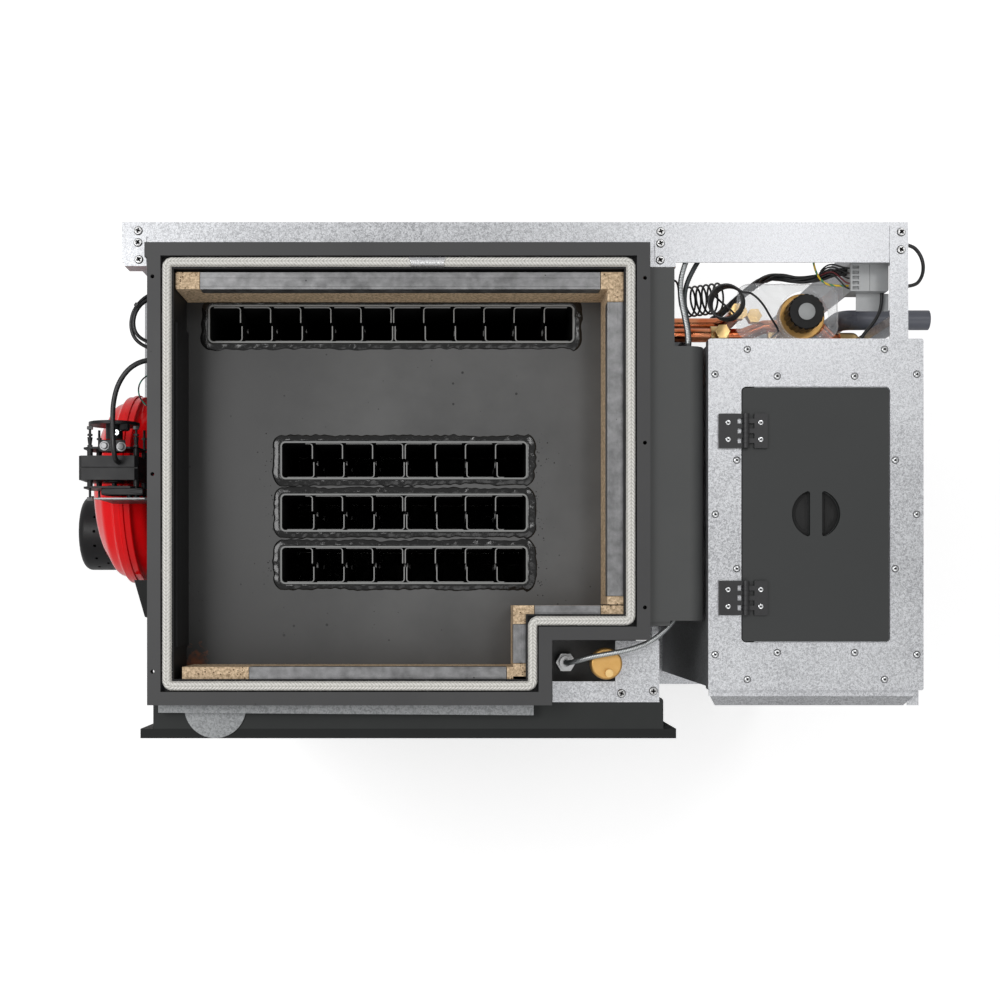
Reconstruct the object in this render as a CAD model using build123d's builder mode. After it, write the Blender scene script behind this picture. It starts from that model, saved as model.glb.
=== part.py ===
# Boiler fireplace for pellets and logs, seen with its cleaning cover taken off.
# Millimetres, +Z up, +Y to the back, origin on the floor under the middle of the whole object.
import os
from math import acos, cos, degrees, hypot, pi, radians, sin, sqrt, tan

from build123d import *

os.makedirs("parts", exist_ok=True)

# Boiler body in plan
flange_width = 755.0
flange_depth = 695.0
boiler_x = -113.0
boiler_back = 375.0
notch_width = 147.5
notch_depth = 98.0
bar = 20.0
flange_overhang = 8.0
jacket_depth = 662.0
jacket_wall = 4.0

# Boiler body in height
top_z = 1180.0
chamber_depth = 115.0
plate_thickness = 6.0
jacket_bottom_z = 240.0
firebox_crown_z = 800.0
firebox_floor_z = 300.0

# Cover flange, rope and chamber walls
cover_screw_radius = 3.0
cover_screw_inset = 8.0
left_screw_pitch = 296.5
left_screw_y = 27.0
right_screw_pitch = 247.2
right_screw_y = 74.0
flange_tongue = 4.0
rope_inset = 28.8
rope_diameter = 14.5
rope_corner_radius = 8.3
ledge_depth = 12.5
ledge_thickness = 2.0
chamber_wall_inset = 36.4
chamber_wall = 2.1
chamber_lip_drop = 6.0
seat_gap = 0.3

# Lining boards and their clips
board_height = 100.0
board_step = 30.0
back_board_thickness = 25.5
right_board_thickness = 24.0
front_board_thickness = 18.0
notch_side_board_thickness = 18.7
notch_front_board_thickness = 12.9
board_play = 3.4
clip_height = 30.0
clip_sheet = 1.5
clip_ridge = 1.0
clip_end_gap = 1.0
left_panel_length = 492.0
left_panel_thickness = 3.0

# Flue slots and turbulators
slot_x = -109.0
slot_length = 390.0
slot_depth = 60.0
slot_pitch = 82.6
slot_front_y = -24.2
slot_corner = 8.0
tube_wall = 2.5
tube_stand = 2.0
rear_slot_x = -129.0
rear_slot_y = 273.4
rear_slot_length = 577.0
rear_tube_bottom_z = 560.0
turbulator_pitch = 47.6
turbulator_sheet = 1.6
turbulator_tab = 42.0
turbulator_short_tab = 11.0
turbulator_corner = 5.5
turbulator_slit = 5.5
turbulator_jog = 2.4
turbulator_length = 240.0
turbulator_sink = 3.0
turbulator_middle_gap = 4.0
turbulator_shift = 1.0
turbulator_end_trim = 6.0
rear_strips_x = -127.3

# Firebox
firebox_width = 590.0
firebox_depth = 485.0
firebox_back = 215.0
firebox_wall = 6.0
throat_width = 564.0
throat_bottom_z = 410.0
throat_height = 380.0
throat_wall = 5.0
lining_thickness = 28.0
hearth_z = 386.0
hearth_thickness = 10.0
pot_x = 84.0
pot_y = -40.0
pot_length = 120.0
pot_width = 100.0
pot_height = 60.0
pot_sink = 26.0
pot_wall = 7.0
pot_hole_radius = 3.5

# Front box, front frame and door
front_box_width = 786.0
front_box_depth = 48.0
front_box_top_z = 1120.0
front_box_sheet = 2.0
front_box_corner = 6.0
front_frame_width = 825.5
front_frame_thickness = 14.8
front_frame_sheet = 2.5
front_x = -100.5
front_frame_bottom_z = 274.0
door_gap = 3.0
door_overlap = 20.0
door_thickness = 20.0
window_width = 500.0
window_height = 310.0
glass_thickness = 4.0
glass_rebate = 10.0
door_hinge_offset = 13.0
door_pin_radius = 3.0
door_knuckle_radius = 6.0
door_knuckle_length = 20.0
door_hinge_spacing = 260.0
running_gap = 0.05
handle_drop = 130.0
handle_front_y = -410.0
front_bar_length = 573.0
front_bar_width = 25.0
front_bar_height = 18.0
half_disc_radius = 47.5
half_disc_x = -397.7

# Ash drawer
drawer_width = 370.0
drawer_length = 400.0
drawer_height = 62.0
drawer_sheet = 2.0
drawer_gap = 4.0

# Galvanised cage
rail_width = 61.0
rail_left_x = -532.5
rail_right_x = 657.0
rail_back_y = 410.0
rail_top_z = 1160.0
rail_sheet = 2.0
rail_flange = 40.0
side_rail_width = 28.0
post_size = 40.0
tube_size = 40.0
foot_radius = 22.0
foot_height = 45.0
frame_front_y = -318.0
cradle_height = 35.0

# Auger casing and pellet hopper
casing_left_x = 266.0
casing_right_x = 350.0
casing_step_x = 303.0
casing_back_y = 341.0
casing_step_y = 221.6
casing_front_y = -193.3
casing_top_z = 1165.0
casing_sheet = 2.0
casing_roll = 24.0
casing_drop = 90.0
hopper_x = 515.4
hopper_y = -33.0
collar_width = 324.4
collar_depth = 530.0
collar_top_z = 1170.0
collar_sheet = 2.0
collar_flange = 22.0
hatch_width = 221.3
hatch_depth = 382.6
hatch_thickness = 3.0
hatch_corner = 6.0
hatch_gap = 1.5
hatch_shift_y = -0.2
ledge_reach = 12.0
pull_radius = 36.5
pull_bar = 18.0
pull_depth = 12.0
pull_pocket_corner = 3.5
pull_shift_y = 1.0
hinge_length = 52.0
hinge_upper_y = 92.4
hinge_lower_y = -159.0
hinge_knuckle_radius = 5.0
hinge_pin_radius = 2.0
hinge_pin_inset = 4.3
hinge_leaf = 5.0
hinge_flap_width = 20.0
hinge_knuckles = 7
rivet_radius = 4.8
rivet_height = 2.2
hopper_sheet = 1.5
hopper_straight_height = 516.0
hopper_throat_length = 96.0
hopper_throat_width = 72.0
hopper_throat_x = 530.0
sheet_seam = 0.05
lip_width = 313.0
lip_reach = 24.0
lip_drop = 20.0

# Auger
auger_low_x = 590.0
auger_low_z = 300.0
auger_slope = 42.0
auger_y = -40.0
auger_tube_radius = 38.0
auger_tube_wall = 2.5
auger_radius = 33.0
auger_shaft_radius = 10.0
auger_lead = 60.0
auger_blade_angle = 26.0
auger_inlet_length = 100.0

# Smoke side
smoke_duct_width = 52.0
smoke_duct_top_z = 640.0
fan_y = -32.3
fan_z = 540.0
fan_scroll_radius = 96.0
fan_scroll_width = 60.0
fan_sheet = 3.0
fan_inlet_radius = 42.0
fan_shaft_radius = 5.0
impeller_radius = 78.0
impeller_width = 36.0
impeller_blades = 12
flue_radius = 40.0
flue_wall = 2.0
flue_end_y = 400.0
can_radius = 46.0
can_length = 60.0
guard_radius = 71.6
guard_length = 87.5
guard_wall = 2.5
guard_round = 14.0
guard_holes = 16
guard_hole_radius = 2.8

# Expansion vessel
vessel_radius = 161.5
vessel_y = 29.1
vessel_z = 820.0
vessel_seam_x = -575.7
vessel_half_depth = 69.4
vessel_side = 12.0
vessel_seam_lip = 2.5
vessel_stub_radius = 12.0

# Drive motor on the left side
motor_x = -572.0
motor_z = 1040.0
core_width = 93.0
core_depth = 38.0
core_height = 80.0
core_y = 45.7
motor_shaft_radius = 4.0
motor_hub_radius = 13.4
motor_disc_radius = 40.0
motor_disc_y = 118.0
motor_stud_radius = 2.0

# Corner fittings
plate_sheet = 2.0
vent_x = 202.2
vent_y = -259.1
vent_radius = 24.1
vent_neck_radius = 14.0
vent_cap_radius = 6.2
well_x = 144.5
well_y = -259.4
well_size = 31.0

# Pipes and fittings
pipe_radius = 11.0
pipe_bore_radius = 10.0
flow_z = 1000.0
pipe_plane_y = 281.0
flow_pipe_y = 267.2
relief_y = 295.5
relief_z = 940.0
riser_x = 614.0
riser_y = 258.5
elbow_reach = 20.0
elbow_radius = 13.0
flow_end_z = 520.0
return_z = 440.0
return_end_z = 416.0
pipe_end_x = 700.0
pipe_bend = 24.0
swan_neck_bend = 18.0
pipe_clearance = 2.0
valve_x = 524.0
valve_body_radius = 36.5
valve_core_radius = 24.0
knob_radius = 28.2
knob_height = 34.0
knob_z = 1050.0
knob_ribs = 18
pump_x = 400.0
drain_radius = 16.0
drain_wall = 2.0
drain_y = 293.8
drain_z = 990.0
drain_end_x = 742.0
drain_leg_x = 600.0
drain_bend = 17.0

# Control side
control_y = 356.0
control_top_z = 1120.0
terminal_x = 581.2
controller_x = 611.0
controller_width = 28.6
control_depth = 42.0
control_height = 46.0

# Cables
cable_radius = 2.75
motor_cable_radius = 4.0
capillary_radius = 1.25
conduit_radius = 4.1
wire_radius = 1.2
earth_radius = 1.6
harness_radius = 6.5

boiler_left = boiler_x - flange_width / 2
boiler_right = boiler_x + flange_width / 2
boiler_front = boiler_back - flange_depth
notch_left = boiler_right - notch_width
notch_back = boiler_front + notch_depth
plate_z = top_z - chamber_depth
jacket_left = boiler_left + flange_overhang
jacket_right = boiler_right - flange_overhang
jacket_front = boiler_front + flange_overhang
jacket_back = jacket_front + jacket_depth
jacket_x = (jacket_left + jacket_right) / 2
jacket_y = (jacket_front + jacket_back) / 2
wall_face = chamber_wall_inset + chamber_wall
front_box_back = jacket_front - seat_gap
frame_back_y = front_box_back - front_box_depth
frame_front_face_y = frame_back_y - front_frame_thickness


def block(x, y, z, mode=Mode.ADD):
    """Add a rectangular block between two values on each axis to the open part."""
    with Locations(((x[0] + x[1]) / 2, (y[0] + y[1]) / 2, (z[0] + z[1]) / 2)):
        Box(x[1] - x[0], y[1] - y[0], z[1] - z[0], mode=mode)


def rod(centre, radius, length, axis, mode=Mode.ADD):
    """Add a round bar along X, Y or Z, centred on a point, to the open part."""
    turn = {"X": (0, 90, 0), "Y": (90, 0, 0), "Z": (0, 0, 0)}[axis]
    with Locations(Location(centre, turn)):
        Cylinder(radius, length, mode=mode)


def notched_outline(inset):
    """Corner points of the chamber's L-shaped outline, moved inwards from the flange edge."""
    left = boiler_left + inset
    right = boiler_right - inset
    back = boiler_back - inset
    front = boiler_front + inset
    return [
        (left, front),
        (notch_left - inset, front),
        (notch_left - inset, notch_back + inset),
        (right, notch_back + inset),
        (right, back),
        (left, back),
    ]


def notched_ring(outer_inset, inner_inset, bottom, height):
    """Extrude the band between two insets of the L-shaped outline in the open part."""
    with BuildSketch(Plane.XY.offset(bottom)) as band:
        with BuildLine():
            Polyline(*notched_outline(outer_inset), close=True)
        make_face()
        with BuildLine():
            Polyline(*notched_outline(inner_inset), close=True)
        make_face(mode=Mode.SUBTRACT)
    extrude(band.sketch, amount=height)


def corner_radii(points):
    """Arc radii of a cord: 0.45 of the shorter run over the tangent of half the turn."""
    radii = []
    for before, here, after in zip(points, points[1:], points[2:]):
        first = Vector(*here) - Vector(*before)
        second = Vector(*after) - Vector(*here)
        half_turn = radians(first.get_angle(second)) / 2
        radii.append(0.45 * min(first.length, second.length) / tan(half_turn))
    return radii


def cord_tube(name, points, radius):
    """Sweep a round tube along a cord's route and print its arc radii."""
    radii = corner_radii(points)
    print(f"{name}: smallest arc radius {min(radii):.1f} mm, diameter {2 * radius:.1f} mm")
    with BuildPart() as tube:
        with BuildLine() as route:
            FilletPolyline(*points, radius=radii)
        with BuildSketch(Plane(origin=route.line @ 0, z_dir=route.line % 0)):
            Circle(radius)
        sweep()
    return tube.part


# Cover flange: square bars welded to an L-shaped frame, with a threaded hole in each side bar
cover_screws = [
    (boiler_left + cover_screw_inset, left_screw_y - left_screw_pitch),
    (boiler_left + cover_screw_inset, left_screw_y),
    (boiler_left + cover_screw_inset, left_screw_y + left_screw_pitch),
    (boiler_right - cover_screw_inset, right_screw_y - right_screw_pitch),
    (boiler_right - cover_screw_inset, right_screw_y),
    (boiler_right - cover_screw_inset, right_screw_y + right_screw_pitch),
]
with BuildPart() as cover_flange:
    notched_ring(0, bar, top_z - bar, bar)
    block(
        (boiler_left - flange_tongue, boiler_left + bar),
        (boiler_back - bar - 2, boiler_back),
        (top_z - bar, top_z),
    )
    with BuildSketch(Plane.XY.offset(top_z)):
        with Locations(*cover_screws):
            Circle(cover_screw_radius)
    extrude(amount=-bar, mode=Mode.SUBTRACT)
cover_flange.part.label = "cover_flange"
export_step(cover_flange.part, "parts/cover_flange.step")

# Chamber walls: upright sheet with a ledge that carries the rope and meets the flange bars
with BuildPart() as chamber_walls:
    notched_ring(chamber_wall_inset, wall_face, plate_z, chamber_depth - chamber_lip_drop)
    notched_ring(bar, wall_face, top_z - ledge_depth - ledge_thickness, ledge_thickness)
chamber_walls.part.label = "chamber_walls"
export_step(chamber_walls.part, "parts/chamber_walls.step")

# Rope gasket: one closed rope in the groove between the bars and the lip
rope_z = top_z - ledge_depth + seat_gap + rope_diameter / 2
with BuildPart() as rope_gasket:
    with BuildLine(Plane.XY.offset(rope_z)) as rope_line:
        FilletPolyline(*notched_outline(rope_inset), radius=rope_corner_radius, close=True)
    with BuildSketch(Plane(origin=rope_line.line @ 0, z_dir=rope_line.line % 0)):
        Circle(rope_diameter / 2)
    sweep()
rope_gasket.part.label = "rope_gasket"
export_step(rope_gasket.part, "parts/rope_gasket.step")

# Left wall panel, between the two dark recesses at its ends
panel_x = boiler_left + wall_face + seat_gap
panel_y = (259.0 - 233.0) / 2
with BuildPart() as left_wall_panel:
    block(
        (panel_x, panel_x + left_panel_thickness),
        (panel_y - left_panel_length / 2, panel_y + left_panel_length / 2),
        (plate_z + seat_gap, top_z - bar),
    )
left_wall_panel.part.label = "left_wall_panel"
export_step(left_wall_panel.part, "parts/left_wall_panel.step")

# Lining boards: full height at their ends, lower between them where the clips sit
board_z = plate_z + seat_gap
board_top_z = plate_z + board_height
low_top_z = board_top_z - board_step
inner_right = boiler_right - wall_face
inner_back = boiler_back - wall_face
inner_front = boiler_front + wall_face
inner_notch_x = notch_left - wall_face
inner_notch_y = notch_back + wall_face
back_board_y = (inner_back - board_play - back_board_thickness, inner_back - board_play)
right_board_x = (inner_right - seat_gap - right_board_thickness, inner_right - seat_gap)
front_board_y = (inner_front + seat_gap, inner_front + seat_gap + front_board_thickness)
notch_side_x = (inner_notch_x - seat_gap - notch_side_board_thickness, inner_notch_x - seat_gap)
notch_front_y = (inner_notch_y + seat_gap, inner_notch_y + seat_gap + notch_front_board_thickness)
back_board_x = (-450.3, inner_right - seat_gap)
back_clip_x = (-414.5, 191.8)
right_board_y = (notch_front_y[1] + 1.6, back_board_y[0] - seat_gap)
right_clip_y = (-156.6, 288.8)
notch_front_x = (notch_side_x[0], inner_right - seat_gap)
notch_front_clip_x = (91.0, 192.0)
notch_side_y = (-277.4, notch_front_y[0] - seat_gap)
notch_side_clip_y = (-258.1, -197.9)
front_board_x = (-440.5, notch_side_x[0] - seat_gap)
front_clip_x = (-340.2, 50.0)
with BuildPart() as lining_boards:
    block(back_board_x, back_board_y, (board_z, board_top_z))
    block(back_clip_x, back_board_y, (low_top_z, board_top_z), Mode.SUBTRACT)
    block(right_board_x, right_board_y, (board_z, board_top_z))
    block(right_board_x, right_clip_y, (low_top_z, board_top_z), Mode.SUBTRACT)
    block(notch_front_x, notch_front_y, (board_z, board_top_z))
    block(notch_front_clip_x, notch_front_y, (low_top_z, board_top_z), Mode.SUBTRACT)
    block(notch_side_x, notch_side_y, (board_z, board_top_z))
    block(notch_side_x, notch_side_clip_y, (low_top_z, board_top_z), Mode.SUBTRACT)
    block(front_board_x, front_board_y, (board_z, board_top_z))
    block(front_clip_x, front_board_y, (low_top_z, board_top_z), Mode.SUBTRACT)
lining_boards.part.label = "lining_boards"
export_step(lining_boards.part, "parts/lining_boards.step")


def clip(plane, width, length):
    """A rolled channel with two ridges on its back, open downwards, extruded from a plane."""
    half = width / 2
    with BuildPart() as channel:
        with BuildSketch(plane):
            with BuildLine():
                Polyline(
                    (-half, 0),
                    (-half, clip_height - clip_ridge),
                    (half, clip_height - clip_ridge),
                    (half, 0),
                    (half - clip_sheet, 0),
                    (half - clip_sheet, clip_height - clip_ridge - clip_sheet),
                    (-half + clip_sheet, clip_height - clip_ridge - clip_sheet),
                    (-half + clip_sheet, 0),
                    close=True,
                )
            make_face()
            with Locations((-width / 4, clip_height - clip_ridge), (width / 4, clip_height - clip_ridge)):
                Rectangle(width / 6, clip_ridge, align=(Align.CENTER, Align.MIN))
        extrude(amount=length)
    return channel.part


clip_z = low_top_z + board_step - clip_height


def middle(span):
    """Middle of a span of two values."""
    return (span[0] + span[1]) / 2


with BuildPart() as board_clips:
    for span_x, span_y in (
        (back_clip_x, back_board_y),
        (notch_front_clip_x, notch_front_y),
        (front_clip_x, front_board_y),
    ):
        start = (span_x[0] + clip_end_gap, middle(span_y), clip_z)
        clip_plane = Plane(origin=start, x_dir=(0, 1, 0), z_dir=(1, 0, 0))
        add(clip(clip_plane, span_y[1] - span_y[0], span_x[1] - span_x[0] - 2 * clip_end_gap))
    for span_x, span_y in ((right_board_x, right_clip_y), (notch_side_x, notch_side_clip_y)):
        start = (middle(span_x), span_y[1] - clip_end_gap, clip_z)
        clip_plane = Plane(origin=start, x_dir=(1, 0, 0), z_dir=(0, -1, 0))
        add(clip(clip_plane, span_x[1] - span_x[0], span_y[1] - span_y[0] - 2 * clip_end_gap))
board_clips.part.label = "board_clips"
export_step(board_clips.part, "parts/board_clips.step")

# Tube plate: top of the water jacket and floor of the cleaning chamber
front_slots = [(slot_x, slot_front_y + row * slot_pitch) for row in (-1, 0, 1)]
with BuildPart() as tube_plate:
    with BuildSketch(Plane.XY.offset(plate_z - plate_thickness)):
        with Locations((jacket_x, jacket_y)):
            Rectangle(jacket_right - jacket_left, jacket_depth)
        with Locations(*front_slots):
            RectangleRounded(
                slot_length + 2 * seat_gap,
                slot_depth + 2 * seat_gap,
                slot_corner + seat_gap,
                mode=Mode.SUBTRACT,
            )
        with Locations((rear_slot_x, rear_slot_y)):
            RectangleRounded(
                rear_slot_length + 2 * seat_gap,
                slot_depth + 2 * seat_gap,
                slot_corner + seat_gap,
                mode=Mode.SUBTRACT,
            )
    extrude(amount=plate_thickness)
tube_plate.part.label = "tube_plate"
export_step(tube_plate.part, "parts/tube_plate.step")


def flat_tube(place, length, bottom):
    """Extrude one flat flue tube with rounded corners from its lower end to above the plate."""
    with BuildSketch(Plane.XY.offset(bottom)) as section:
        with Locations(place):
            RectangleRounded(length, slot_depth, slot_corner)
            RectangleRounded(
                length - 2 * tube_wall,
                slot_depth - 2 * tube_wall,
                slot_corner - tube_wall,
                mode=Mode.SUBTRACT,
            )
    extrude(section.sketch, amount=plate_z + tube_stand - bottom)


# Flue tubes: three standing on the firebox crown, one at the back standing on the smoke box
crown_top_z = firebox_crown_z + firebox_wall
with BuildPart() as flue_tubes:
    for place in front_slots:
        flat_tube(place, slot_length, crown_top_z)
    flat_tube((rear_slot_x, rear_slot_y), rear_slot_length, rear_tube_bottom_z)
flue_tubes.part.label = "flue_tubes"
export_step(flue_tubes.part, "parts/flue_tubes.step")


def turbulator(side, upper_tab, lower_tab):
    """A bent strip: two angle halves either side of a slit, joined lower down by bridges."""
    reach = slot_depth / 2 - tube_wall
    jog = turbulator_jog / 2
    bend = turbulator_corner - turbulator_sheet / 2
    with BuildPart() as strip:
        with BuildSketch(Plane.XY):
            for end, tab, web in ((1, upper_tab, -jog), (-1, lower_tab, jog)):
                edge = end * (reach - turbulator_sheet / 2)
                with BuildLine() as bent:
                    FilletPolyline(
                        (web + side * tab, edge),
                        (web, edge),
                        (web, end * turbulator_slit / 2),
                        radius=bend,
                    )
                trace(bent.line, line_width=turbulator_sheet)
        extrude(amount=-turbulator_length)
        for depth in (0.3, 0.8):
            top = -depth * turbulator_length
            block((-jog, jog), (-turbulator_slit, turbulator_slit), (top - 20, top))
        for end, web in ((1, -jog), (-1, jog)):
            foot = web + side * (bend + turbulator_sheet)
            edges_y = tuple(sorted((end * (reach + 1), end * (reach - turbulator_sheet - 1))))
            seam_x = (foot - sheet_seam / 2, foot + sheet_seam / 2)
            block(seam_x, edges_y, (-turbulator_length, 0), Mode.SUBTRACT)
    return strip.part


# Turbulators: eight in each front tube and twelve in the rear one, mirrored about the middle
turbulator_z = plate_z - turbulator_sink
left_strip = turbulator(-1, turbulator_tab, turbulator_tab)
right_strip = turbulator(1, turbulator_tab, turbulator_tab)
left_end_strip = turbulator(-1, turbulator_short_tab, turbulator_tab)
right_end_strip = turbulator(1, turbulator_tab, turbulator_short_tab)
trimmed_tab = turbulator_tab - turbulator_end_trim
rear_end_strip = turbulator(1, trimmed_tab, trimmed_tab)


def strip_places(x, y, count, side):
    """Places of one half's strips, counted outwards from the middle of a tube."""
    first = x + turbulator_shift + side * turbulator_middle_gap / 2
    return [(first + side * k * turbulator_pitch, y, turbulator_z) for k in range(count)]


with BuildPart() as turbulators:
    for x, y in front_slots:
        left_places = strip_places(x, y, 4, -1)
        right_places = strip_places(x, y, 4, 1)
        with Locations(*left_places[:-1]):
            add(left_strip)
        with Locations(left_places[-1]):
            add(left_end_strip)
        with Locations(*right_places[:-1]):
            add(right_strip)
        with Locations(right_places[-1]):
            add(right_end_strip)
    rear_left_places = strip_places(rear_strips_x, rear_slot_y, 6, -1)
    rear_right_places = strip_places(rear_strips_x, rear_slot_y, 6, 1)
    with Locations(*rear_left_places):
        add(left_strip)
    with Locations(*rear_right_places[:-1]):
        add(right_strip)
    with Locations(rear_right_places[-1]):
        add(rear_end_strip)
turbulators.part.label = "turbulators"
export_step(turbulators.part, "parts/turbulators.step")

# Firebox shell: firebox, throat to the door and tunnel of the ash drawer in one weldment
firebox_x = (slot_x - firebox_width / 2, slot_x + firebox_width / 2)
firebox_y = (firebox_back - firebox_depth, firebox_back)
firebox_z = (firebox_floor_z, firebox_crown_z)
throat_x = (slot_x - throat_width / 2, slot_x + throat_width / 2)
throat_z = (throat_bottom_z, throat_bottom_z + throat_height)
throat_front_y = frame_back_y + seat_gap
tunnel_half = drawer_width / 2 + drawer_gap + 2
tunnel_x = (slot_x - tunnel_half, slot_x + tunnel_half)
tunnel_z = (firebox_floor_z, firebox_floor_z + drawer_height + 10)
tunnel_wall = 4.0
tunnel_front_y = frame_front_face_y + front_frame_sheet


def grown(span, amount):
    """A span of two values made longer at both ends."""
    return (span[0] - amount, span[1] + amount)


throat_hole_x = grown(throat_x, throat_wall)
throat_hole_z = grown(throat_z, throat_wall)
tunnel_hole_x = grown(tunnel_x, tunnel_wall)
tunnel_hole_z = grown(tunnel_z, tunnel_wall)

# Auger axis: from the low end under the hopper up through the right-hand walls
auger_tilt = radians(auger_slope)
auger_low = Vector(auger_low_x, auger_y, auger_low_z)
auger_run = Vector(-cos(auger_tilt), 0, sin(auger_tilt))
auger_plane = Plane(origin=auger_low, x_dir=(0, 1, 0), z_dir=auger_run)
auger_length = (auger_low_x - firebox_x[1]) / cos(auger_tilt)


def auger_hole(radius, start, length):
    """Cut a round passage along the auger axis through the open part."""
    with BuildSketch(auger_plane.offset(start)) as mouth:
        Circle(radius)
    extrude(mouth.sketch, amount=length, mode=Mode.SUBTRACT)


with BuildPart() as firebox_shell:
    block(grown(firebox_x, firebox_wall), grown(firebox_y, firebox_wall), grown(firebox_z, firebox_wall))
    block(throat_hole_x, (throat_front_y, firebox_y[0]), throat_hole_z)
    block(tunnel_hole_x, (tunnel_front_y, firebox_y[0]), tunnel_hole_z)
    block(firebox_x, firebox_y, firebox_z, Mode.SUBTRACT)
    block(throat_x, (throat_front_y, firebox_y[0]), throat_z, Mode.SUBTRACT)
    block(tunnel_x, (tunnel_front_y, firebox_y[0]), tunnel_z, Mode.SUBTRACT)
    with BuildSketch(Plane.XY.offset(firebox_crown_z)):
        with Locations(*front_slots):
            RectangleRounded(
                slot_length - 2 * tube_wall, slot_depth - 2 * tube_wall, slot_corner - tube_wall
            )
    extrude(amount=firebox_wall, mode=Mode.SUBTRACT)
    auger_hole(auger_tube_radius + seat_gap, auger_length - 60, 120)
firebox_shell.part.label = "firebox_shell"
export_step(firebox_shell.part, "parts/firebox_shell.step")

# Water jacket: closed shell round the firebox and the tubes, the tube plate is its lid
smoke_y = (rear_slot_y - 35.0, rear_slot_y + 35.0)
smoke_z = (rear_tube_bottom_z - 90.0, rear_tube_bottom_z)
jacket_z = (jacket_bottom_z, plate_z - plate_thickness)
water_holes = [(flow_pipe_y, flow_z), (relief_y, relief_z), (pipe_plane_y, return_z)]
with BuildPart() as boiler_jacket:
    block((jacket_left, jacket_right), (jacket_front, jacket_back), jacket_z)
    block(
        grown((jacket_left, jacket_right), -jacket_wall),
        grown((jacket_front, jacket_back), -jacket_wall),
        (jacket_z[0] + jacket_wall, jacket_z[1]),
        Mode.SUBTRACT,
    )
    block(throat_hole_x, grown((jacket_front, jacket_front), 10), throat_hole_z, Mode.SUBTRACT)
    block(tunnel_hole_x, grown((jacket_front, jacket_front), 10), tunnel_hole_z, Mode.SUBTRACT)
    block(grown((jacket_left, jacket_left), 10), smoke_y, smoke_z, Mode.SUBTRACT)
    for y, z in water_holes:
        rod((jacket_right, y, z), pipe_bore_radius, 30, "X", Mode.SUBTRACT)
    auger_hole(auger_tube_radius + seat_gap, auger_length - 190, 150)
boiler_jacket.part.label = "boiler_jacket"
export_step(boiler_jacket.part, "parts/boiler_jacket.step")

# Firebox lining: back, left and right slabs and the hearth slab that carries the brazier
hearth_top_z = hearth_z + hearth_thickness
with BuildPart() as firebox_lining:
    lining_z = (hearth_top_z, firebox_crown_z - 40)
    side_y = (firebox_y[0] + 40, firebox_y[1] - lining_thickness)
    block(firebox_x, firebox_y, (hearth_z, hearth_top_z))
    block((pot_x - pot_length / 2, pot_x + pot_length / 2), (pot_y - pot_width / 2, pot_y + pot_width / 2),
          (hearth_z, hearth_top_z), Mode.SUBTRACT)
    block(firebox_x, (firebox_y[1] - lining_thickness, firebox_y[1]), lining_z)
    block((firebox_x[0], firebox_x[0] + lining_thickness), side_y, lining_z)
    block((firebox_x[1] - lining_thickness, firebox_x[1]), side_y, lining_z)
    auger_hole(auger_tube_radius + 4, auger_length - 60, 120)
firebox_lining.part.label = "firebox_lining"
export_step(firebox_lining.part, "parts/firebox_lining.step")

# Brazier: cast pot in the hearth slab with rows of air holes and a rim that rests on the slab
with BuildPart() as brazier:
    rim = 8.0
    pot_half_x = pot_length / 2 - seat_gap
    pot_half_y = pot_width / 2 - seat_gap
    pot_bottom_z = hearth_top_z - pot_sink
    block((pot_x - pot_half_x, pot_x + pot_half_x), (pot_y - pot_half_y, pot_y + pot_half_y),
          (pot_bottom_z, pot_bottom_z + pot_height))
    block((pot_x - pot_half_x - rim, pot_x + pot_half_x + rim),
          (pot_y - pot_half_y - rim, pot_y + pot_half_y + rim), (hearth_top_z, hearth_top_z + pot_wall))
    block((pot_x - pot_half_x + pot_wall, pot_x + pot_half_x - pot_wall),
          (pot_y - pot_half_y + pot_wall, pot_y + pot_half_y - pot_wall),
          (pot_bottom_z + pot_wall, pot_bottom_z + pot_height), Mode.SUBTRACT)
    with BuildSketch(Plane.XY.offset(pot_bottom_z)):
        with Locations((pot_x, pot_y)):
            with GridLocations(22, 20, 4, 4):
                Circle(pot_hole_radius)
    extrude(amount=pot_wall, mode=Mode.SUBTRACT)
brazier.part.label = "brazier"
export_step(brazier.part, "parts/brazier.step")

# Front box: dark sheet box between the boiler and the front frame
front_box_x = (front_x - front_box_width / 2, front_x + front_box_width / 2)
front_box_z = (front_frame_bottom_z + 10, front_box_top_z)
with BuildPart() as front_box:
    block(front_box_x, (frame_back_y, front_box_back), front_box_z)
    back_corners = front_box.edges().filter_by(Axis.Z).sort_by(Axis.Y)[-2:]
    fillet(back_corners, front_box_corner)
    inside_x = grown(front_box_x, -front_box_sheet)
    block(inside_x, (frame_back_y, front_box_back - front_box_sheet), grown(front_box_z, -front_box_sheet),
          Mode.SUBTRACT)
    block(throat_hole_x, grown((front_box_back, front_box_back), 10), throat_hole_z, Mode.SUBTRACT)
    block(tunnel_hole_x, grown((front_box_back, front_box_back), 10), tunnel_hole_z, Mode.SUBTRACT)
front_box.part.label = "front_box"
export_step(front_box.part, "parts/front_box.step")

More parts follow.
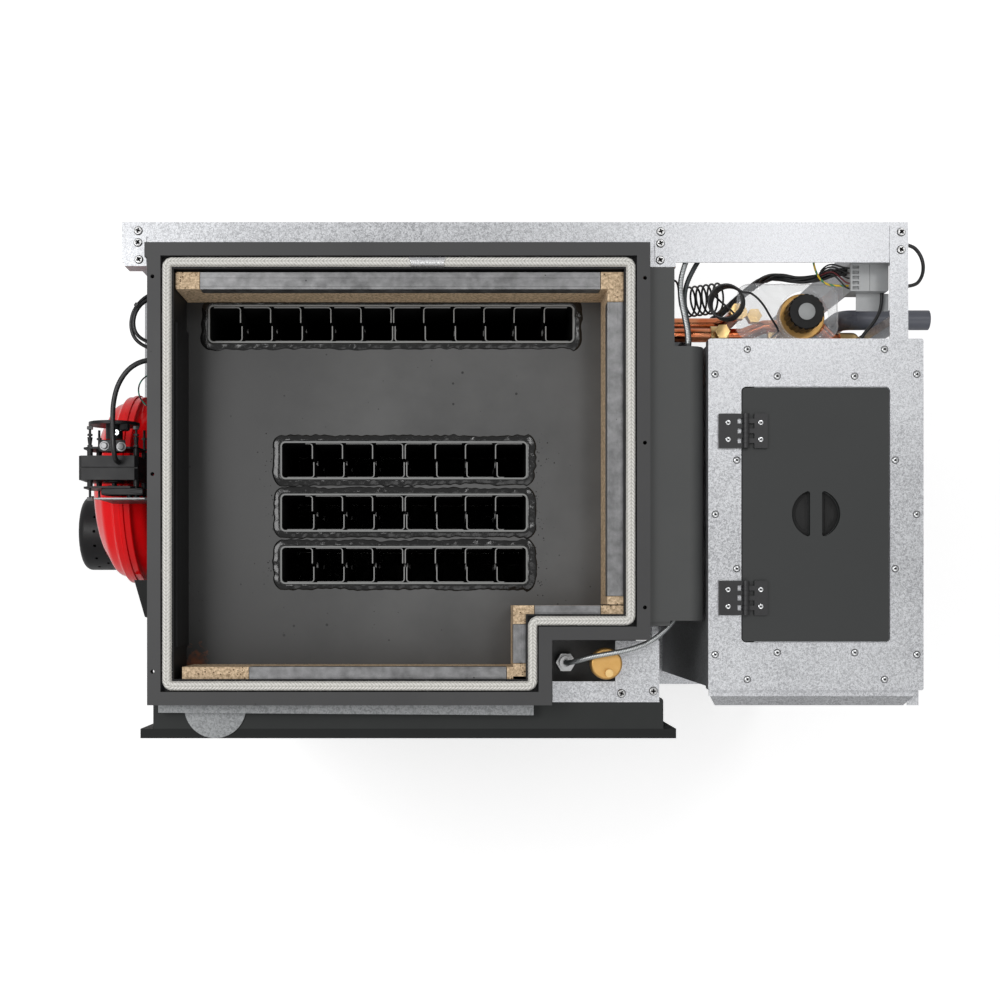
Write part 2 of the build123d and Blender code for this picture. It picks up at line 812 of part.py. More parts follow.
# Front frame: folded tray with the door opening and the drawer opening
frame_x = (front_x - front_frame_width / 2, front_x + front_frame_width / 2)
frame_z = (front_frame_bottom_z, front_box_top_z)
frame_y = (frame_front_face_y, frame_back_y)
opening_x = grown(throat_x, door_overlap + 8)
opening_z = grown(throat_z, door_overlap + 8)
frame_lip = 28.0
with BuildPart() as front_frame:
    block(frame_x, frame_y, frame_z)
    cavity_y = (frame_y[0] + front_frame_sheet, frame_y[1] - front_frame_sheet)
    block(grown(frame_x, -front_frame_sheet), cavity_y, grown(frame_z, -front_frame_sheet), Mode.SUBTRACT)
    block(grown(frame_x, -frame_lip), (cavity_y[1], frame_y[1]), grown(frame_z, -frame_lip), Mode.SUBTRACT)
    block(tunnel_hole_x, (cavity_y[1], frame_y[1]), tunnel_hole_z, Mode.SUBTRACT)
    block(grown(opening_x, front_frame_sheet), frame_y, grown(opening_z, front_frame_sheet))
    block(opening_x, frame_y, opening_z, Mode.SUBTRACT)
    block(tunnel_x, grown((frame_y[0], frame_y[0]), 4), tunnel_z, Mode.SUBTRACT)
front_frame.part.label = "front_frame"
export_step(front_frame.part, "parts/front_frame.step")

# Fire door: frame with a rebated window and the middle knuckles of its two hinges
door_x = grown(opening_x, -door_gap)
door_z = grown(opening_z, -door_gap)
door_y = (frame_back_y - door_thickness, frame_back_y)
door_middle_z = middle(door_z)
window_x = grown((middle(door_x), middle(door_x)), window_width / 2)
window_z = grown((door_middle_z, door_middle_z), window_height / 2)
glass_x = grown(window_x, glass_rebate)
glass_z = grown(window_z, glass_rebate)
glass_y = grown((middle(door_y), middle(door_y)), glass_thickness / 2)
hinge_x = door_x[0] - door_hinge_offset
hinge_y = door_y[0] - door_knuckle_radius + 0.8
door_hinge_levels = (door_middle_z - door_hinge_spacing / 2, door_middle_z + door_hinge_spacing / 2)
door_leaf = 3.0
spindle_radius = 6.0
spindle_x = door_x[1] - 10
spindle_z = door_middle_z
with BuildPart() as door_frame:
    block(door_x, door_y, door_z)
    block(window_x, door_y, window_z, Mode.SUBTRACT)
    block(grown(glass_x, seat_gap), grown(glass_y, seat_gap), (glass_z[0], glass_z[1] + seat_gap),
          Mode.SUBTRACT)
    for level in door_hinge_levels:
        knuckle_half = door_knuckle_length / 2 - seat_gap
        block((hinge_x, door_x[0] + 20), (door_y[0] - door_leaf, door_y[0]),
              (level - knuckle_half, level + knuckle_half))
        rod((hinge_x, hinge_y, level), door_knuckle_radius, 2 * knuckle_half, "Z")
        rod((hinge_x, hinge_y, level), door_pin_radius + running_gap, door_knuckle_length, "Z", Mode.SUBTRACT)
    rod((spindle_x, middle(door_y), spindle_z), spindle_radius, 2 * door_thickness, "Y", Mode.SUBTRACT)
door_frame.part.label = "door_frame"
export_step(door_frame.part, "parts/door_frame.step")

with BuildPart() as door_glass:
    block(glass_x, glass_y, glass_z)
door_glass.part.label = "door_glass"
export_step(door_glass.part, "parts/door_glass.step")

# Door hinges: fixed blocks on the front frame with the outer knuckles and the pins
with BuildPart() as door_hinges:
    for level in door_hinge_levels:
        for side in (-1, 1):
            centre = level + side * door_knuckle_length
            span = grown((centre, centre), door_knuckle_length / 2)
            block((hinge_x - 26, hinge_x), (hinge_y - 2, frame_y[0]), span)
            rod((hinge_x, hinge_y, centre), door_knuckle_radius, door_knuckle_length, "Z")
        rod((hinge_x, hinge_y, level), door_pin_radius, 3 * door_knuckle_length, "Z")
door_hinges.part.label = "door_hinges"
export_step(door_hinges.part, "parts/door_hinges.step")

# Door handle: spindle through the door, cam behind the frame and a hanging lever
grip_radius = 7.0
with BuildPart() as door_handle:
    cam_y = (door_y[1] + 0.5, door_y[1] + 6.5)
    boss_y = (door_y[0] - 12, door_y[0] - seat_gap)
    grip_y = handle_front_y + grip_radius
    rod((spindle_x, (grip_y + cam_y[1]) / 2, spindle_z), spindle_radius - running_gap, cam_y[1] - grip_y, "Y")
    block((spindle_x - 6, spindle_x + 18), cam_y, (spindle_z - 6, spindle_z + 6))
    rod((spindle_x, middle(boss_y), spindle_z), 11, boss_y[1] - boss_y[0], "Y")
    rod((spindle_x, grip_y, spindle_z - handle_drop / 2), grip_radius, handle_drop, "Z")
    with Locations((spindle_x, grip_y, spindle_z), (spindle_x, grip_y, spindle_z - handle_drop)):
        Sphere(grip_radius)
door_handle.part.label = "door_handle"
export_step(door_handle.part, "parts/door_handle.step")

# Ash drawer: sheet box on the tunnel floor, closed by a front panel with a pull lip
drawer_x = grown((slot_x, slot_x), drawer_width / 2)
drawer_y = (frame_y[0], frame_y[0] + drawer_length)
drawer_z = (firebox_floor_z, firebox_floor_z + drawer_height)
panel_gap_z = 4.0
with BuildPart() as ash_drawer:
    block(drawer_x, drawer_y, drawer_z)
    block(grown(drawer_x, -drawer_sheet), grown(drawer_y, -drawer_sheet),
          (drawer_z[0] + drawer_sheet, drawer_z[1]), Mode.SUBTRACT)
    drawer_panel_z = (tunnel_z[0] - 8, opening_z[0] - panel_gap_z)
    drawer_panel_y = (frame_y[0] - 5, frame_y[0])
    block(grown(tunnel_x, 12), drawer_panel_y, drawer_panel_z)
    block((slot_x - 60, slot_x + 60), (drawer_panel_y[0] - 18, drawer_panel_y[0]),
          (drawer_panel_z[1] - 22, drawer_panel_z[1] - 18))
ash_drawer.part.label = "ash_drawer"
export_step(ash_drawer.part, "parts/ash_drawer.step")

# Front trim: galvanised bar on the front box, and the disc plate it holds down
bar_x = (-481.5, -481.5 + front_bar_length)
disc_plate = 3.0
bar_z = (front_box_top_z + disc_plate, front_box_top_z + disc_plate + front_bar_height)
bar_front = -336.0
bar_slant = 2.0
with BuildPart() as front_trim:
    with BuildSketch(Plane.XY.offset(bar_z[0])):
        with BuildLine():
            Polyline(
                (bar_x[0], bar_front + bar_slant),
                (bar_x[1], bar_front - bar_slant),
                (bar_x[1], bar_front - bar_slant + front_bar_width),
                (bar_x[0], bar_front + bar_slant + front_bar_width),
                close=True,
            )
        make_face()
    extrude(amount=front_bar_height)
    block(bar_x, (bar_front + 5, bar_front + front_bar_width - 5), (bar_z[0], bar_z[1] - 2), Mode.SUBTRACT)
    for x in (-300.0, -110.0, 70.0):
        block((x - 10, x + 10), (bar_front + 2, bar_front + front_bar_width - 4),
              (front_box_top_z, bar_z[1] - 2))
    with BuildSketch(Plane.XY.offset(front_box_top_z)):
        with Locations((half_disc_x, -327.1)):
            Circle(half_disc_radius)
        with Locations((half_disc_x, -310.0)):
            Rectangle(3 * half_disc_radius, half_disc_radius, align=(Align.CENTER, Align.MIN),
                      mode=Mode.SUBTRACT)
    extrude(amount=disc_plate)
front_trim.part.label = "front_trim"
export_step(front_trim.part, "parts/front_trim.step")

# Base frame: square tubes on the floor, short legs and a cradle under the jacket
base_x = (-520.0, 698.0)
base_y = (frame_front_y, 400.0)
base_z = (foot_height, foot_height + tube_size)
cross_left = 338.0
cross_right = 610.0
cradle_x = (jacket_left + 3, jacket_right - 2)
cradle_y = (jacket_front, jacket_back)
cradle_z = (jacket_bottom_z - cradle_height, jacket_bottom_z)
leg_x = (cradle_x[0], cradle_x[1] - tube_size)
leg_y = (cradle_y[0], cradle_y[1] - tube_size)
hopper_leg = 24.0
hopper_body_x = grown((hopper_x, hopper_x), collar_width / 2 - 4)
hopper_body_y = grown((hopper_y, hopper_y), collar_depth / 2 - 4)
hopper_flange = hopper_leg
hopper_bottom_z = collar_top_z - collar_sheet - hopper_straight_height
with BuildPart() as base_frame:
    for y in (base_y[0], base_y[1] - tube_size):
        block(base_x, (y, y + tube_size), base_z)
    for x in (base_x[0], cross_left, cross_right, base_x[1] - tube_size):
        block((x, x + tube_size), base_y, base_z)
    for x in leg_x:
        for y in leg_y:
            block((x, x + tube_size), (y, y + tube_size), (base_z[1], cradle_z[0]))
        block((x, x + tube_size), cradle_y, cradle_z)
    for y in leg_y:
        block(cradle_x, (y, y + tube_size), cradle_z)
    block((leg_x[0], leg_x[0] + tube_size), base_y, base_z)
    block((leg_x[1], leg_x[1] + tube_size), base_y, base_z)
base_frame.part.label = "base_frame"
export_step(base_frame.part, "parts/base_frame.step")

# Levelling feet: pad and stud under the base
foot_pad = 10.0
foot_stud_radius = 6.0
with BuildPart() as levelling_feet:
    for x in (base_x[0] + 20, leg_x[1] + 20, base_x[1] - 20):
        for y in (base_y[0] + 20, base_y[1] - 20):
            rod((x, y, foot_pad / 2), foot_radius, foot_pad, "Z")
            rod((x, y, foot_height / 2), foot_stud_radius, foot_height, "Z")
levelling_feet.part.label = "levelling_feet"
export_step(levelling_feet.part, "parts/levelling_feet.step")

# Posts of the cage and the legs of the hopper
rail_z = (rail_top_z - rail_sheet, rail_top_z)
rail_y = (rail_back_y - rail_width, rail_back_y)
post_y = (rail_back_y - rail_sheet - post_size, rail_back_y - rail_sheet)
side_rail_x = (rail_right_x - side_rail_width, rail_right_x)
side_post_y = (hopper_body_y[1] + hopper_flange + 1, hopper_body_y[1] + hopper_flange + 15)
hopper_flange_z = (hopper_bottom_z, hopper_bottom_z + 3)
with BuildPart() as frame_posts:
    for x in (rail_left_x, casing_left_x, side_rail_x[1] - post_size - 3):
        block((x, x + post_size), post_y, (base_z[1], rail_z[0]))
    block((side_rail_x[0], side_rail_x[1] - rail_sheet), side_post_y, (base_z[1], rail_top_z))
    for x in (hopper_body_x[0] - hopper_leg, hopper_body_x[1]):
        for y in (hopper_body_y[0] - hopper_leg, hopper_body_y[1]):
            block((x, x + hopper_leg), (y, y + hopper_leg), (base_z[1], hopper_bottom_z))
frame_posts.part.label = "frame_posts"
export_step(frame_posts.part, "parts/frame_posts.step")

# Galvanised rails: long rear angle, side angle, end bracket and middle tab
side_rail_y = (233.5, 403.6)
end_bracket_x = (-528.3, -495.2)
end_bracket_y = (343.1, 388.5)
tab_x = (274.0, 292.1)
tab_foot_x = (266.4, 305.7)
upper_sheet_z = (rail_top_z, rail_top_z + rail_sheet)
with BuildPart() as top_rails:
    block((rail_left_x, rail_right_x), rail_y, rail_z)
    block((rail_left_x, rail_right_x), (rail_y[1] - rail_sheet, rail_y[1]), (rail_top_z - rail_flange, rail_z[1]))
    block(side_rail_x, side_rail_y, upper_sheet_z)
    block((side_rail_x[1] - rail_sheet, side_rail_x[1]), (side_rail_y[0], rail_y[0] - seat_gap),
          (rail_top_z - 30, upper_sheet_z[1]))
    block(end_bracket_x, end_bracket_y, upper_sheet_z)
    block(end_bracket_x, (end_bracket_y[0], end_bracket_y[0] + rail_sheet), (rail_top_z - 34, rail_top_z))
    block(tab_x, (346.0, 387.0), upper_sheet_z)
    block(tab_foot_x, (341.6, 349.1), upper_sheet_z)
    block(tab_foot_x, (341.6, 341.6 + rail_sheet), (rail_top_z - 24, rail_top_z))
top_rails.part.label = "top_rails"
export_step(top_rails.part, "parts/top_rails.step")

# Screws on the rails and on the corner plates: pan heads with a cross recess
head_radius = 6.0
head_height = 3.0
corner_plate_z = (front_box_top_z, front_box_top_z + plate_sheet)
screw_places = [
    (-507.9, 396.8, rail_top_z),
    (-507.9, 378.6, upper_sheet_z[1]),
    (-506.4, 352.9, upper_sheet_z[1]),
    (283.0, 395.6, rail_top_z),
    (282.3, 377.3, upper_sheet_z[1]),
    (281.8, 352.0, upper_sheet_z[1]),
    (646.4, 394.5, upper_sheet_z[1]),
    (646.0, 367.6, upper_sheet_z[1]),
    (227.7, -305.8, corner_plate_z[1]),
    (276.8, -302.2, corner_plate_z[1]),
]
with BuildPart() as screw_head:
    Cylinder(head_radius, head_height, align=(Align.CENTER, Align.CENTER, Align.MIN))
    fillet(screw_head.edges().sort_by(Axis.Z)[-1], 1.2)
    block((-3.2, 3.2), (-0.6, 0.6), (head_height - 1.2, head_height), Mode.SUBTRACT)
    block((-0.6, 0.6), (-3.2, 3.2), (head_height - 1.2, head_height), Mode.SUBTRACT)
with BuildPart() as frame_screws:
    with Locations(*screw_places):
        add(screw_head.part)
frame_screws.part.label = "frame_screws"
export_step(frame_screws.part, "parts/frame_screws.step")

# Auger casing: dark cover between the boiler and the hopper with a rolled right edge
casing_z = (casing_top_z - casing_sheet, casing_top_z)
casing_bottom_z = casing_top_z - casing_drop
roll_x = casing_right_x - casing_roll
bracket_z = (jacket_z[1] - 40, jacket_z[1] - 3)
conduit_block_x = (315.0, 329.0)
conduit_block_y = -132.0
rear_block_y = 195.0
with BuildPart() as auger_casing:
    with BuildSketch(Plane.XZ.offset(-casing_step_y)):
        with BuildLine():
            outer_edge = Polyline(
                (casing_left_x, casing_top_z), (roll_x, casing_top_z)
            )
            outer_arc = TangentArc(outer_edge @ 1, (casing_right_x, casing_top_z - casing_roll), tangent=(1, 0))
            Polyline(
                outer_arc @ 1,
                (casing_right_x, casing_bottom_z),
                (casing_right_x - casing_sheet, casing_bottom_z),
                (casing_right_x - casing_sheet, casing_top_z - casing_roll),
            )
            inner_arc = RadiusArc(
                (casing_right_x - casing_sheet, casing_top_z - casing_roll),
                (roll_x, casing_z[0]),
                -(casing_roll - casing_sheet),
            )
            Polyline((roll_x, casing_z[0]), (casing_left_x, casing_z[0]), (casing_left_x, casing_top_z))
        make_face()
    extrude(amount=casing_step_y - casing_front_y)
    block((casing_left_x, casing_step_x), (casing_step_y, casing_back_y), casing_z)
    block((casing_left_x, casing_left_x + casing_sheet), (casing_front_y, casing_back_y),
          (casing_bottom_z, casing_z[1]))
    block((casing_step_x - casing_sheet, casing_step_x), (casing_step_y, casing_back_y),
          (casing_bottom_z, casing_z[1]))
    for y in (-150.0, 150.0):
        block((casing_left_x, casing_left_x + casing_sheet), (y - 20, y + 20), (bracket_z[0], casing_z[1]))
        block((jacket_right, casing_left_x + casing_sheet), (y - 20, y + 20), bracket_z)
    block(conduit_block_x, (conduit_block_y, conduit_block_y + 10), (1120.0, casing_z[0]))
    block((318.0, 332.0), (rear_block_y - 10, rear_block_y), (1120.0, casing_z[0]))
    block((casing_left_x, 296.7), (-201.3, -195.2), (casing_top_z - 5, casing_top_z - 3))
    block((casing_left_x, 296.7), (-195.2, casing_front_y), (casing_top_z - 5, casing_top_z))
auger_casing.part.label = "auger_casing"
export_step(auger_casing.part, "parts/auger_casing.step")

# Hopper collar: folded rim with the hatch opening, the ledge under the hatch and the front lip
collar_x = grown((hopper_x, hopper_x), collar_width / 2)
collar_y = grown((hopper_y, hopper_y), collar_depth / 2)
collar_z = (collar_top_z - collar_sheet, collar_top_z)
hatch_x = grown((hopper_x - 0.3, hopper_x - 0.3), hatch_width / 2)
hatch_y = grown((hopper_y + hatch_shift_y, hopper_y + hatch_shift_y), hatch_depth / 2)
mouth_x = grown(hatch_x, hatch_gap)
mouth_y = grown(hatch_y, hatch_gap)
hinge_axis_x = hatch_x[0] + hinge_pin_inset
hinge_axis_z = collar_top_z + hinge_knuckle_radius + 0.5
ledge_z = (collar_top_z - hatch_thickness - collar_sheet - seat_gap, collar_top_z - hatch_thickness - seat_gap)
ledge_x = (hinge_axis_x + 14, mouth_x[1])
with BuildPart() as hopper_collar:
    block(collar_x, collar_y, (collar_top_z - collar_flange, collar_top_z))
    corners = hopper_collar.edges().filter_by(Axis.Z)
    fillet(corners, 3)
    block(grown(collar_x, -collar_sheet), grown(collar_y, -collar_sheet),
          (collar_top_z - collar_flange, collar_z[0]), Mode.SUBTRACT)
    with BuildSketch(Plane.XY.offset(collar_z[0])):
        with Locations((middle(mouth_x), middle(mouth_y))):
            RectangleRounded(mouth_x[1] - mouth_x[0], mouth_y[1] - mouth_y[0], hatch_corner + hatch_gap)
    extrude(amount=collar_sheet, mode=Mode.SUBTRACT)
    ledge_outer_x = (ledge_x[0], ledge_x[1] + 10)
    ledge_outer_y = grown(mouth_y, 10)
    block(ledge_outer_x, ledge_outer_y, (ledge_z[0], collar_z[0]))
    block((ledge_outer_x[0], mouth_x[1]), mouth_y, (ledge_z[1], collar_z[0]), Mode.SUBTRACT)
    block((ledge_outer_x[0], mouth_x[1] - ledge_reach), grown(mouth_y, -ledge_reach),
          (ledge_z[0], ledge_z[1]), Mode.SUBTRACT)
    lip_x = (355.7, 355.7 + lip_width)
    with BuildSketch(Plane.YZ.offset(lip_x[0])):
        with BuildLine() as lip_edge:
            Polyline(
                (collar_y[0], collar_top_z - 11),
                (collar_y[0] - 9, collar_top_z - 11),
                (collar_y[0] - lip_reach, collar_top_z - 11 - lip_drop),
            )
        trace(lip_edge.line, line_width=collar_sheet)
    extrude(amount=lip_width)
    lip_cut_y = collar_y[0] - 9
    lip_bottom = (collar_top_z - 40, collar_top_z)
    with BuildSketch(Plane.XY.offset(lip_bottom[0])):
        for side, edge in ((1, lip_x[0]), (-1, lip_x[1])):
            with BuildLine():
                Polyline(
                    (edge - side * 3, lip_cut_y),
                    (edge + side * 2, lip_cut_y),
                    (edge + side * 15, collar_y[0] - lip_reach - 4),
                    (edge - side * 3, collar_y[0] - lip_reach - 4),
                    close=True,
                )
            make_face()
    extrude(amount=lip_bottom[1] - lip_bottom[0], mode=Mode.SUBTRACT)
    block((658.8, 676.2), (collar_y[0] - lip_reach, collar_y[0] + 1), (collar_top_z - 22, collar_top_z - 20))
hopper_collar.part.label = "hopper_collar"
export_step(hopper_collar.part, "parts/hopper_collar.step")

# Rivets: round heads in mirrored places on the collar and beside the hatch
rivet_offsets = [(103.4, 248.7), (152.0, 211.2), (58.3, 208.3)]
rivet_places = [
    (hopper_x + side_x * dx, hopper_y + side_y * dy, collar_top_z)
    for dx, dy in rivet_offsets
    for side_x in (-1, 1)
    for side_y in (-1, 1)
]
rivet_places += [(hopper_x + side * 151.6, hopper_y, collar_top_z) for side in (-1, 1)]
rivet_places += [
    (hopper_x + side_x * 119.4, hopper_y + side_y * 81.8, collar_top_z) for side_x in (-1, 1) for side_y in (-1, 1)
]
with BuildPart() as rivet:
    Cylinder(rivet_radius, rivet_height, align=(Align.CENTER, Align.CENTER, Align.MIN))
    fillet(rivet.edges().sort_by(Axis.Z)[-1], 1.6)
with BuildPart() as hopper_rivets:
    with Locations(*rivet_places):
        add(rivet.part)
hopper_rivets.part.label = "hopper_rivets"
export_step(hopper_rivets.part, "parts/hopper_rivets.step")

# Hatch: flush plate with a sunk round pull crossed by a bar
hatch_z = (collar_top_z - hatch_thickness, collar_top_z)
pull_place = (hopper_x + 0.2, hopper_y + pull_shift_y)
with BuildPart() as hopper_hatch:
    with BuildSketch(Plane.XY.offset(hatch_z[0])):
        with Locations((middle(hatch_x), middle(hatch_y))):
            RectangleRounded(hatch_width, hatch_depth, hatch_corner)
    extrude(amount=hatch_thickness)
    rod((*pull_place, hatch_z[1] - pull_depth / 2), pull_radius + 2.4, pull_depth, "Z")
    with BuildSketch(Plane.XY.offset(hatch_z[1])) as pockets:
        with Locations(pull_place):
            Circle(pull_radius)
            Rectangle(pull_bar, 3 * pull_radius, mode=Mode.SUBTRACT)
        fillet(pockets.vertices(), pull_pocket_corner)
    extrude(amount=-(pull_depth - 2), mode=Mode.SUBTRACT)
hopper_hatch.part.label = "hopper_hatch"
export_step(hopper_hatch.part, "parts/hopper_hatch.step")

# Hatch hinges: base leaves with four fingers and the pins, flap leaves with three fingers
finger_pitch = hinge_length / hinge_knuckles
finger_gap = 0.3
leaf_z = (collar_top_z, collar_top_z + hinge_leaf)
base_leaf_x = (hinge_axis_x - 40.3, hinge_axis_x - 12.3)
flap_leaf_x = (hinge_axis_x + 12.9, hinge_axis_x + 12.9 + hinge_flap_width)
hinge_levels = (hinge_upper_y, hinge_lower_y)
screw_offset = 12.7


def hinge_half(side_x, leaf_x, centre_y, first, count):
    """One half of a hatch hinge: leaf, every second finger and its knuckles."""
    half = finger_pitch * hinge_knuckles / 2
    block(leaf_x, (centre_y - half, centre_y + half), leaf_z)
    edge = leaf_x[0] if side_x > 0 else leaf_x[1]
    for k in range(count):
        start = centre_y - half + (first + 2 * k) * finger_pitch + finger_gap / 2
        span = (start, start + finger_pitch - finger_gap)
        block(tuple(sorted((edge, hinge_axis_x))), span, (leaf_z[0] + 0.6, leaf_z[1]))
        rod((hinge_axis_x, middle(span), hinge_axis_z), hinge_knuckle_radius, span[1] - span[0], "Y")
    for offset in (-screw_offset, screw_offset):
        rod((middle(leaf_x), centre_y + offset, leaf_z[1]), 4.2, 2.4, "Z", Mode.SUBTRACT)


with BuildPart() as hinge_bases:
    for level in hinge_levels:
        hinge_half(-1, base_leaf_x, level, 0, 4)
        rod((hinge_axis_x, level, hinge_axis_z), hinge_pin_radius, finger_pitch * hinge_knuckles, "Y")
hinge_bases.part.label = "hinge_bases"
export_step(hinge_bases.part, "parts/hinge_bases.step")

with BuildPart() as hinge_flaps:
    for level in hinge_levels:
        hinge_half(1, flap_leaf_x, level, 1, 3)
        rod((hinge_axis_x, level, hinge_axis_z), hinge_pin_radius + running_gap,
            finger_pitch * hinge_knuckles, "Y", Mode.SUBTRACT)
hinge_flaps.part.label = "hinge_flaps"
export_step(hinge_flaps.part, "parts/hinge_flaps.step")

# Hopper body: straight sleeve, lower flange, funnel and throat saddled on the auger tube
funnel_bottom_z = 430.0
throat_bottom_low_z = 330.0
throat_span_x = grown((hopper_throat_x, hopper_throat_x), hopper_throat_length / 2)
throat_span_y = grown((auger_y, auger_y), hopper_throat_width / 2)
inner_hopper_x = grown(hopper_body_x, -hopper_sheet)
inner_hopper_y = grown(hopper_body_y, -hopper_sheet)


def rectangle_at(level, x, y):
    """A rectangle between two values on X and Y at a height."""
    with BuildSketch(Plane.XY.offset(level)) as outline:
        with Locations((middle(x), middle(y))):
            Rectangle(x[1] - x[0], y[1] - y[0])
    return outline.sketch


with BuildPart() as hopper_body:
    block(hopper_body_x, hopper_body_y, (hopper_bottom_z, collar_z[0]))
    block(grown(hopper_body_x, hopper_flange), grown(hopper_body_y, hopper_flange), hopper_flange_z)
    rod((riser_x, riser_y, middle(hopper_flange_z)), pipe_radius + pipe_clearance, 4 * hopper_sheet, "Z",
        Mode.SUBTRACT)
    loft([
        rectangle_at(hopper_bottom_z, hopper_body_x, hopper_body_y),
        rectangle_at(funnel_bottom_z, throat_span_x, throat_span_y),
    ])
    block(throat_span_x, throat_span_y, (throat_bottom_low_z, funnel_bottom_z))
    block(inner_hopper_x, inner_hopper_y, (hopper_bottom_z, collar_z[0]), Mode.SUBTRACT)
    loft([
        rectangle_at(hopper_bottom_z, inner_hopper_x, inner_hopper_y),
        rectangle_at(funnel_bottom_z, grown(throat_span_x, -hopper_sheet), grown(throat_span_y, -hopper_sheet)),
    ], mode=Mode.SUBTRACT)
    block(grown(throat_span_x, -hopper_sheet), grown(throat_span_y, -hopper_sheet),
          (throat_bottom_low_z, funnel_bottom_z), Mode.SUBTRACT)
    auger_hole(auger_tube_radius + seat_gap, -20, 260)
    lower_side = Plane(origin=auger_low, x_dir=(0, 1, 0), z_dir=auger_run)
    with BuildSketch(lower_side.offset(-20)) as below_tube:
        with Locations((0, 100)):
            Rectangle(200, 200)
    extrude(below_tube.sketch, amount=260, mode=Mode.SUBTRACT)
    for seam_z in (hopper_bottom_z, funnel_bottom_z):
        block(grown(hopper_body_x, 1), grown(hopper_body_y, 1), (seam_z - sheet_seam, seam_z), Mode.SUBTRACT)
    for side_x in (0, 1):
        for side_y in (0, 1):
            high = Vector(hopper_body_x[side_x], hopper_body_y[side_y], hopper_bottom_z - sheet_seam / 2)
            low = Vector(throat_span_x[side_x], throat_span_y[side_y], funnel_bottom_z - sheet_seam / 2)
            inward = Vector(1 - 2 * side_x, 1 - 2 * side_y, 0) * (2 * hopper_sheet)
            seam_plane = Plane(origin=high, x_dir=low - high, z_dir=(low - high).cross(inward))
            seam_corners = [high - inward, high + inward, low + inward, low - inward]
            with BuildSketch(seam_plane) as corner_seam:
                Polygon(*[tuple(seam_plane.to_local_coords(corner))[:2] for corner in seam_corners], align=None)
            extrude(corner_seam.sketch, amount=sheet_seam / 2, both=True, mode=Mode.SUBTRACT)
hopper_body.part.label = "hopper_body"
export_step(hopper_body.part, "parts/hopper_body.step")

# Auger tube: inclined tube with an inlet under the hopper, an end plate and a wall flange
end_plate = 8.0
inlet_start = 55.0
inlet_width = 60.0
flange_z = (530.0, 670.0)
with BuildPart() as auger_tube:
    with BuildSketch(auger_plane.offset(-end_plate)) as plate:
        Circle(auger_tube_radius + 8)
    extrude(plate.sketch, amount=end_plate)
    with BuildSketch(auger_plane) as wall:
        Circle(auger_tube_radius)
    extrude(wall.sketch, amount=auger_length)
    block((jacket_right, jacket_right + 6), (auger_y - 60, auger_y + 60), flange_z)
    auger_hole(auger_tube_radius - auger_tube_wall, 0, auger_length)
    auger_hole(auger_shaft_radius + running_gap, -end_plate, end_plate)
    with BuildSketch(auger_plane.offset(inlet_start)) as inlet:
        with Locations((0, -auger_tube_radius)):
            Rectangle(inlet_width, auger_tube_radius)
    extrude(inlet.sketch, amount=auger_inlet_length - 15, mode=Mode.SUBTRACT)
auger_tube.part.label = "auger_tube"
export_step(auger_tube.part, "parts/auger_tube.step")

# Auger screw: shaft with a one-start blade twisted along it
blade_start = 6.0
blade_length = auger_length - 2 * blade_start
with BuildPart() as auger_screw:
    with BuildSketch(auger_plane.offset(-30)) as shaft:
        Circle(auger_shaft_radius)
    extrude(shaft.sketch, amount=auger_length + 30 - blade_start)
    with BuildSketch(auger_plane.offset(blade_start)) as blade:
        with BuildLine():
            blade_half = auger_blade_angle / 2
            blade_arc = CenterArc((0, 0), auger_radius, -blade_half, auger_blade_angle)
            Polyline(blade_arc @ 1, (0, 0), blade_arc @ 0)
        make_face()
    add(
        Solid.extrude_linear_with_rotation(
            blade.sketch.faces()[0],
            center=auger_plane.offset(blade_start).origin,
            normal=auger_run * blade_length,
            angle=360 * blade_length / auger_lead,
        )
    )
auger_screw.part.label = "auger_screw"
export_step(auger_screw.part, "parts/auger_screw.step")

# Auger gear motor beyond the low end of the tube
gear_size = 84.0
gear_length = 58.0
gear_motor_radius = 34.0
gear_motor_length = 72.0
with BuildPart() as auger_motor:
    with BuildSketch(auger_plane.offset(-end_plate)) as gear:
        RectangleRounded(gear_size, gear_size, 8)
    extrude(gear.sketch, amount=-gear_length)
    with BuildSketch(auger_plane.offset(-end_plate - gear_length)) as can:
        Circle(gear_motor_radius)
    extrude(can.sketch, amount=-gear_motor_length)
    auger_hole(auger_shaft_radius + 0.5, -end_plate - 24, 24)
auger_motor.part.label = "auger_motor"
export_step(auger_motor.part, "parts/auger_motor.step")

# Smoke box: collector under the rear tube and the outer duct on the left of the jacket
duct_x = (jacket_left - smoke_duct_width, jacket_left)
duct_y = (-130.0, smoke_y[1])
duct_z = (smoke_z[0], smoke_duct_top_z)
collector_x = (jacket_left, rear_slot_x + rear_slot_length / 2 + 6)
smoke_wall = 3.0
fan_face_x = duct_x[0]
with BuildPart() as smoke_box:
    block(duct_x, duct_y, duct_z)
    block(collector_x, smoke_y, smoke_z)
    block(grown(duct_x, -smoke_wall), grown(duct_y, -smoke_wall), grown(duct_z, -smoke_wall), Mode.SUBTRACT)
    block((duct_x[1] - smoke_wall, collector_x[1] - smoke_wall), grown(smoke_y, -smoke_wall),
          grown(smoke_z, -smoke_wall), Mode.SUBTRACT)
    with BuildSketch(Plane.XY.offset(smoke_z[1])):
        with Locations((rear_slot_x, rear_slot_y)):
            RectangleRounded(rear_slot_length - 2 * tube_wall, slot_depth - 2 * tube_wall, slot_corner - tube_wall)
    extrude(amount=-smoke_wall, mode=Mode.SUBTRACT)
    rod((fan_face_x, fan_y, fan_z), fan_inlet_radius, 4 * smoke_wall, "X", Mode.SUBTRACT)
    block((duct_x[1], duct_x[1] + sheet_seam), grown(duct_y, 1), grown(duct_z, 1), Mode.SUBTRACT)
smoke_box.part.label = "smoke_box"
export_step(smoke_box.part, "parts/smoke_box.step")

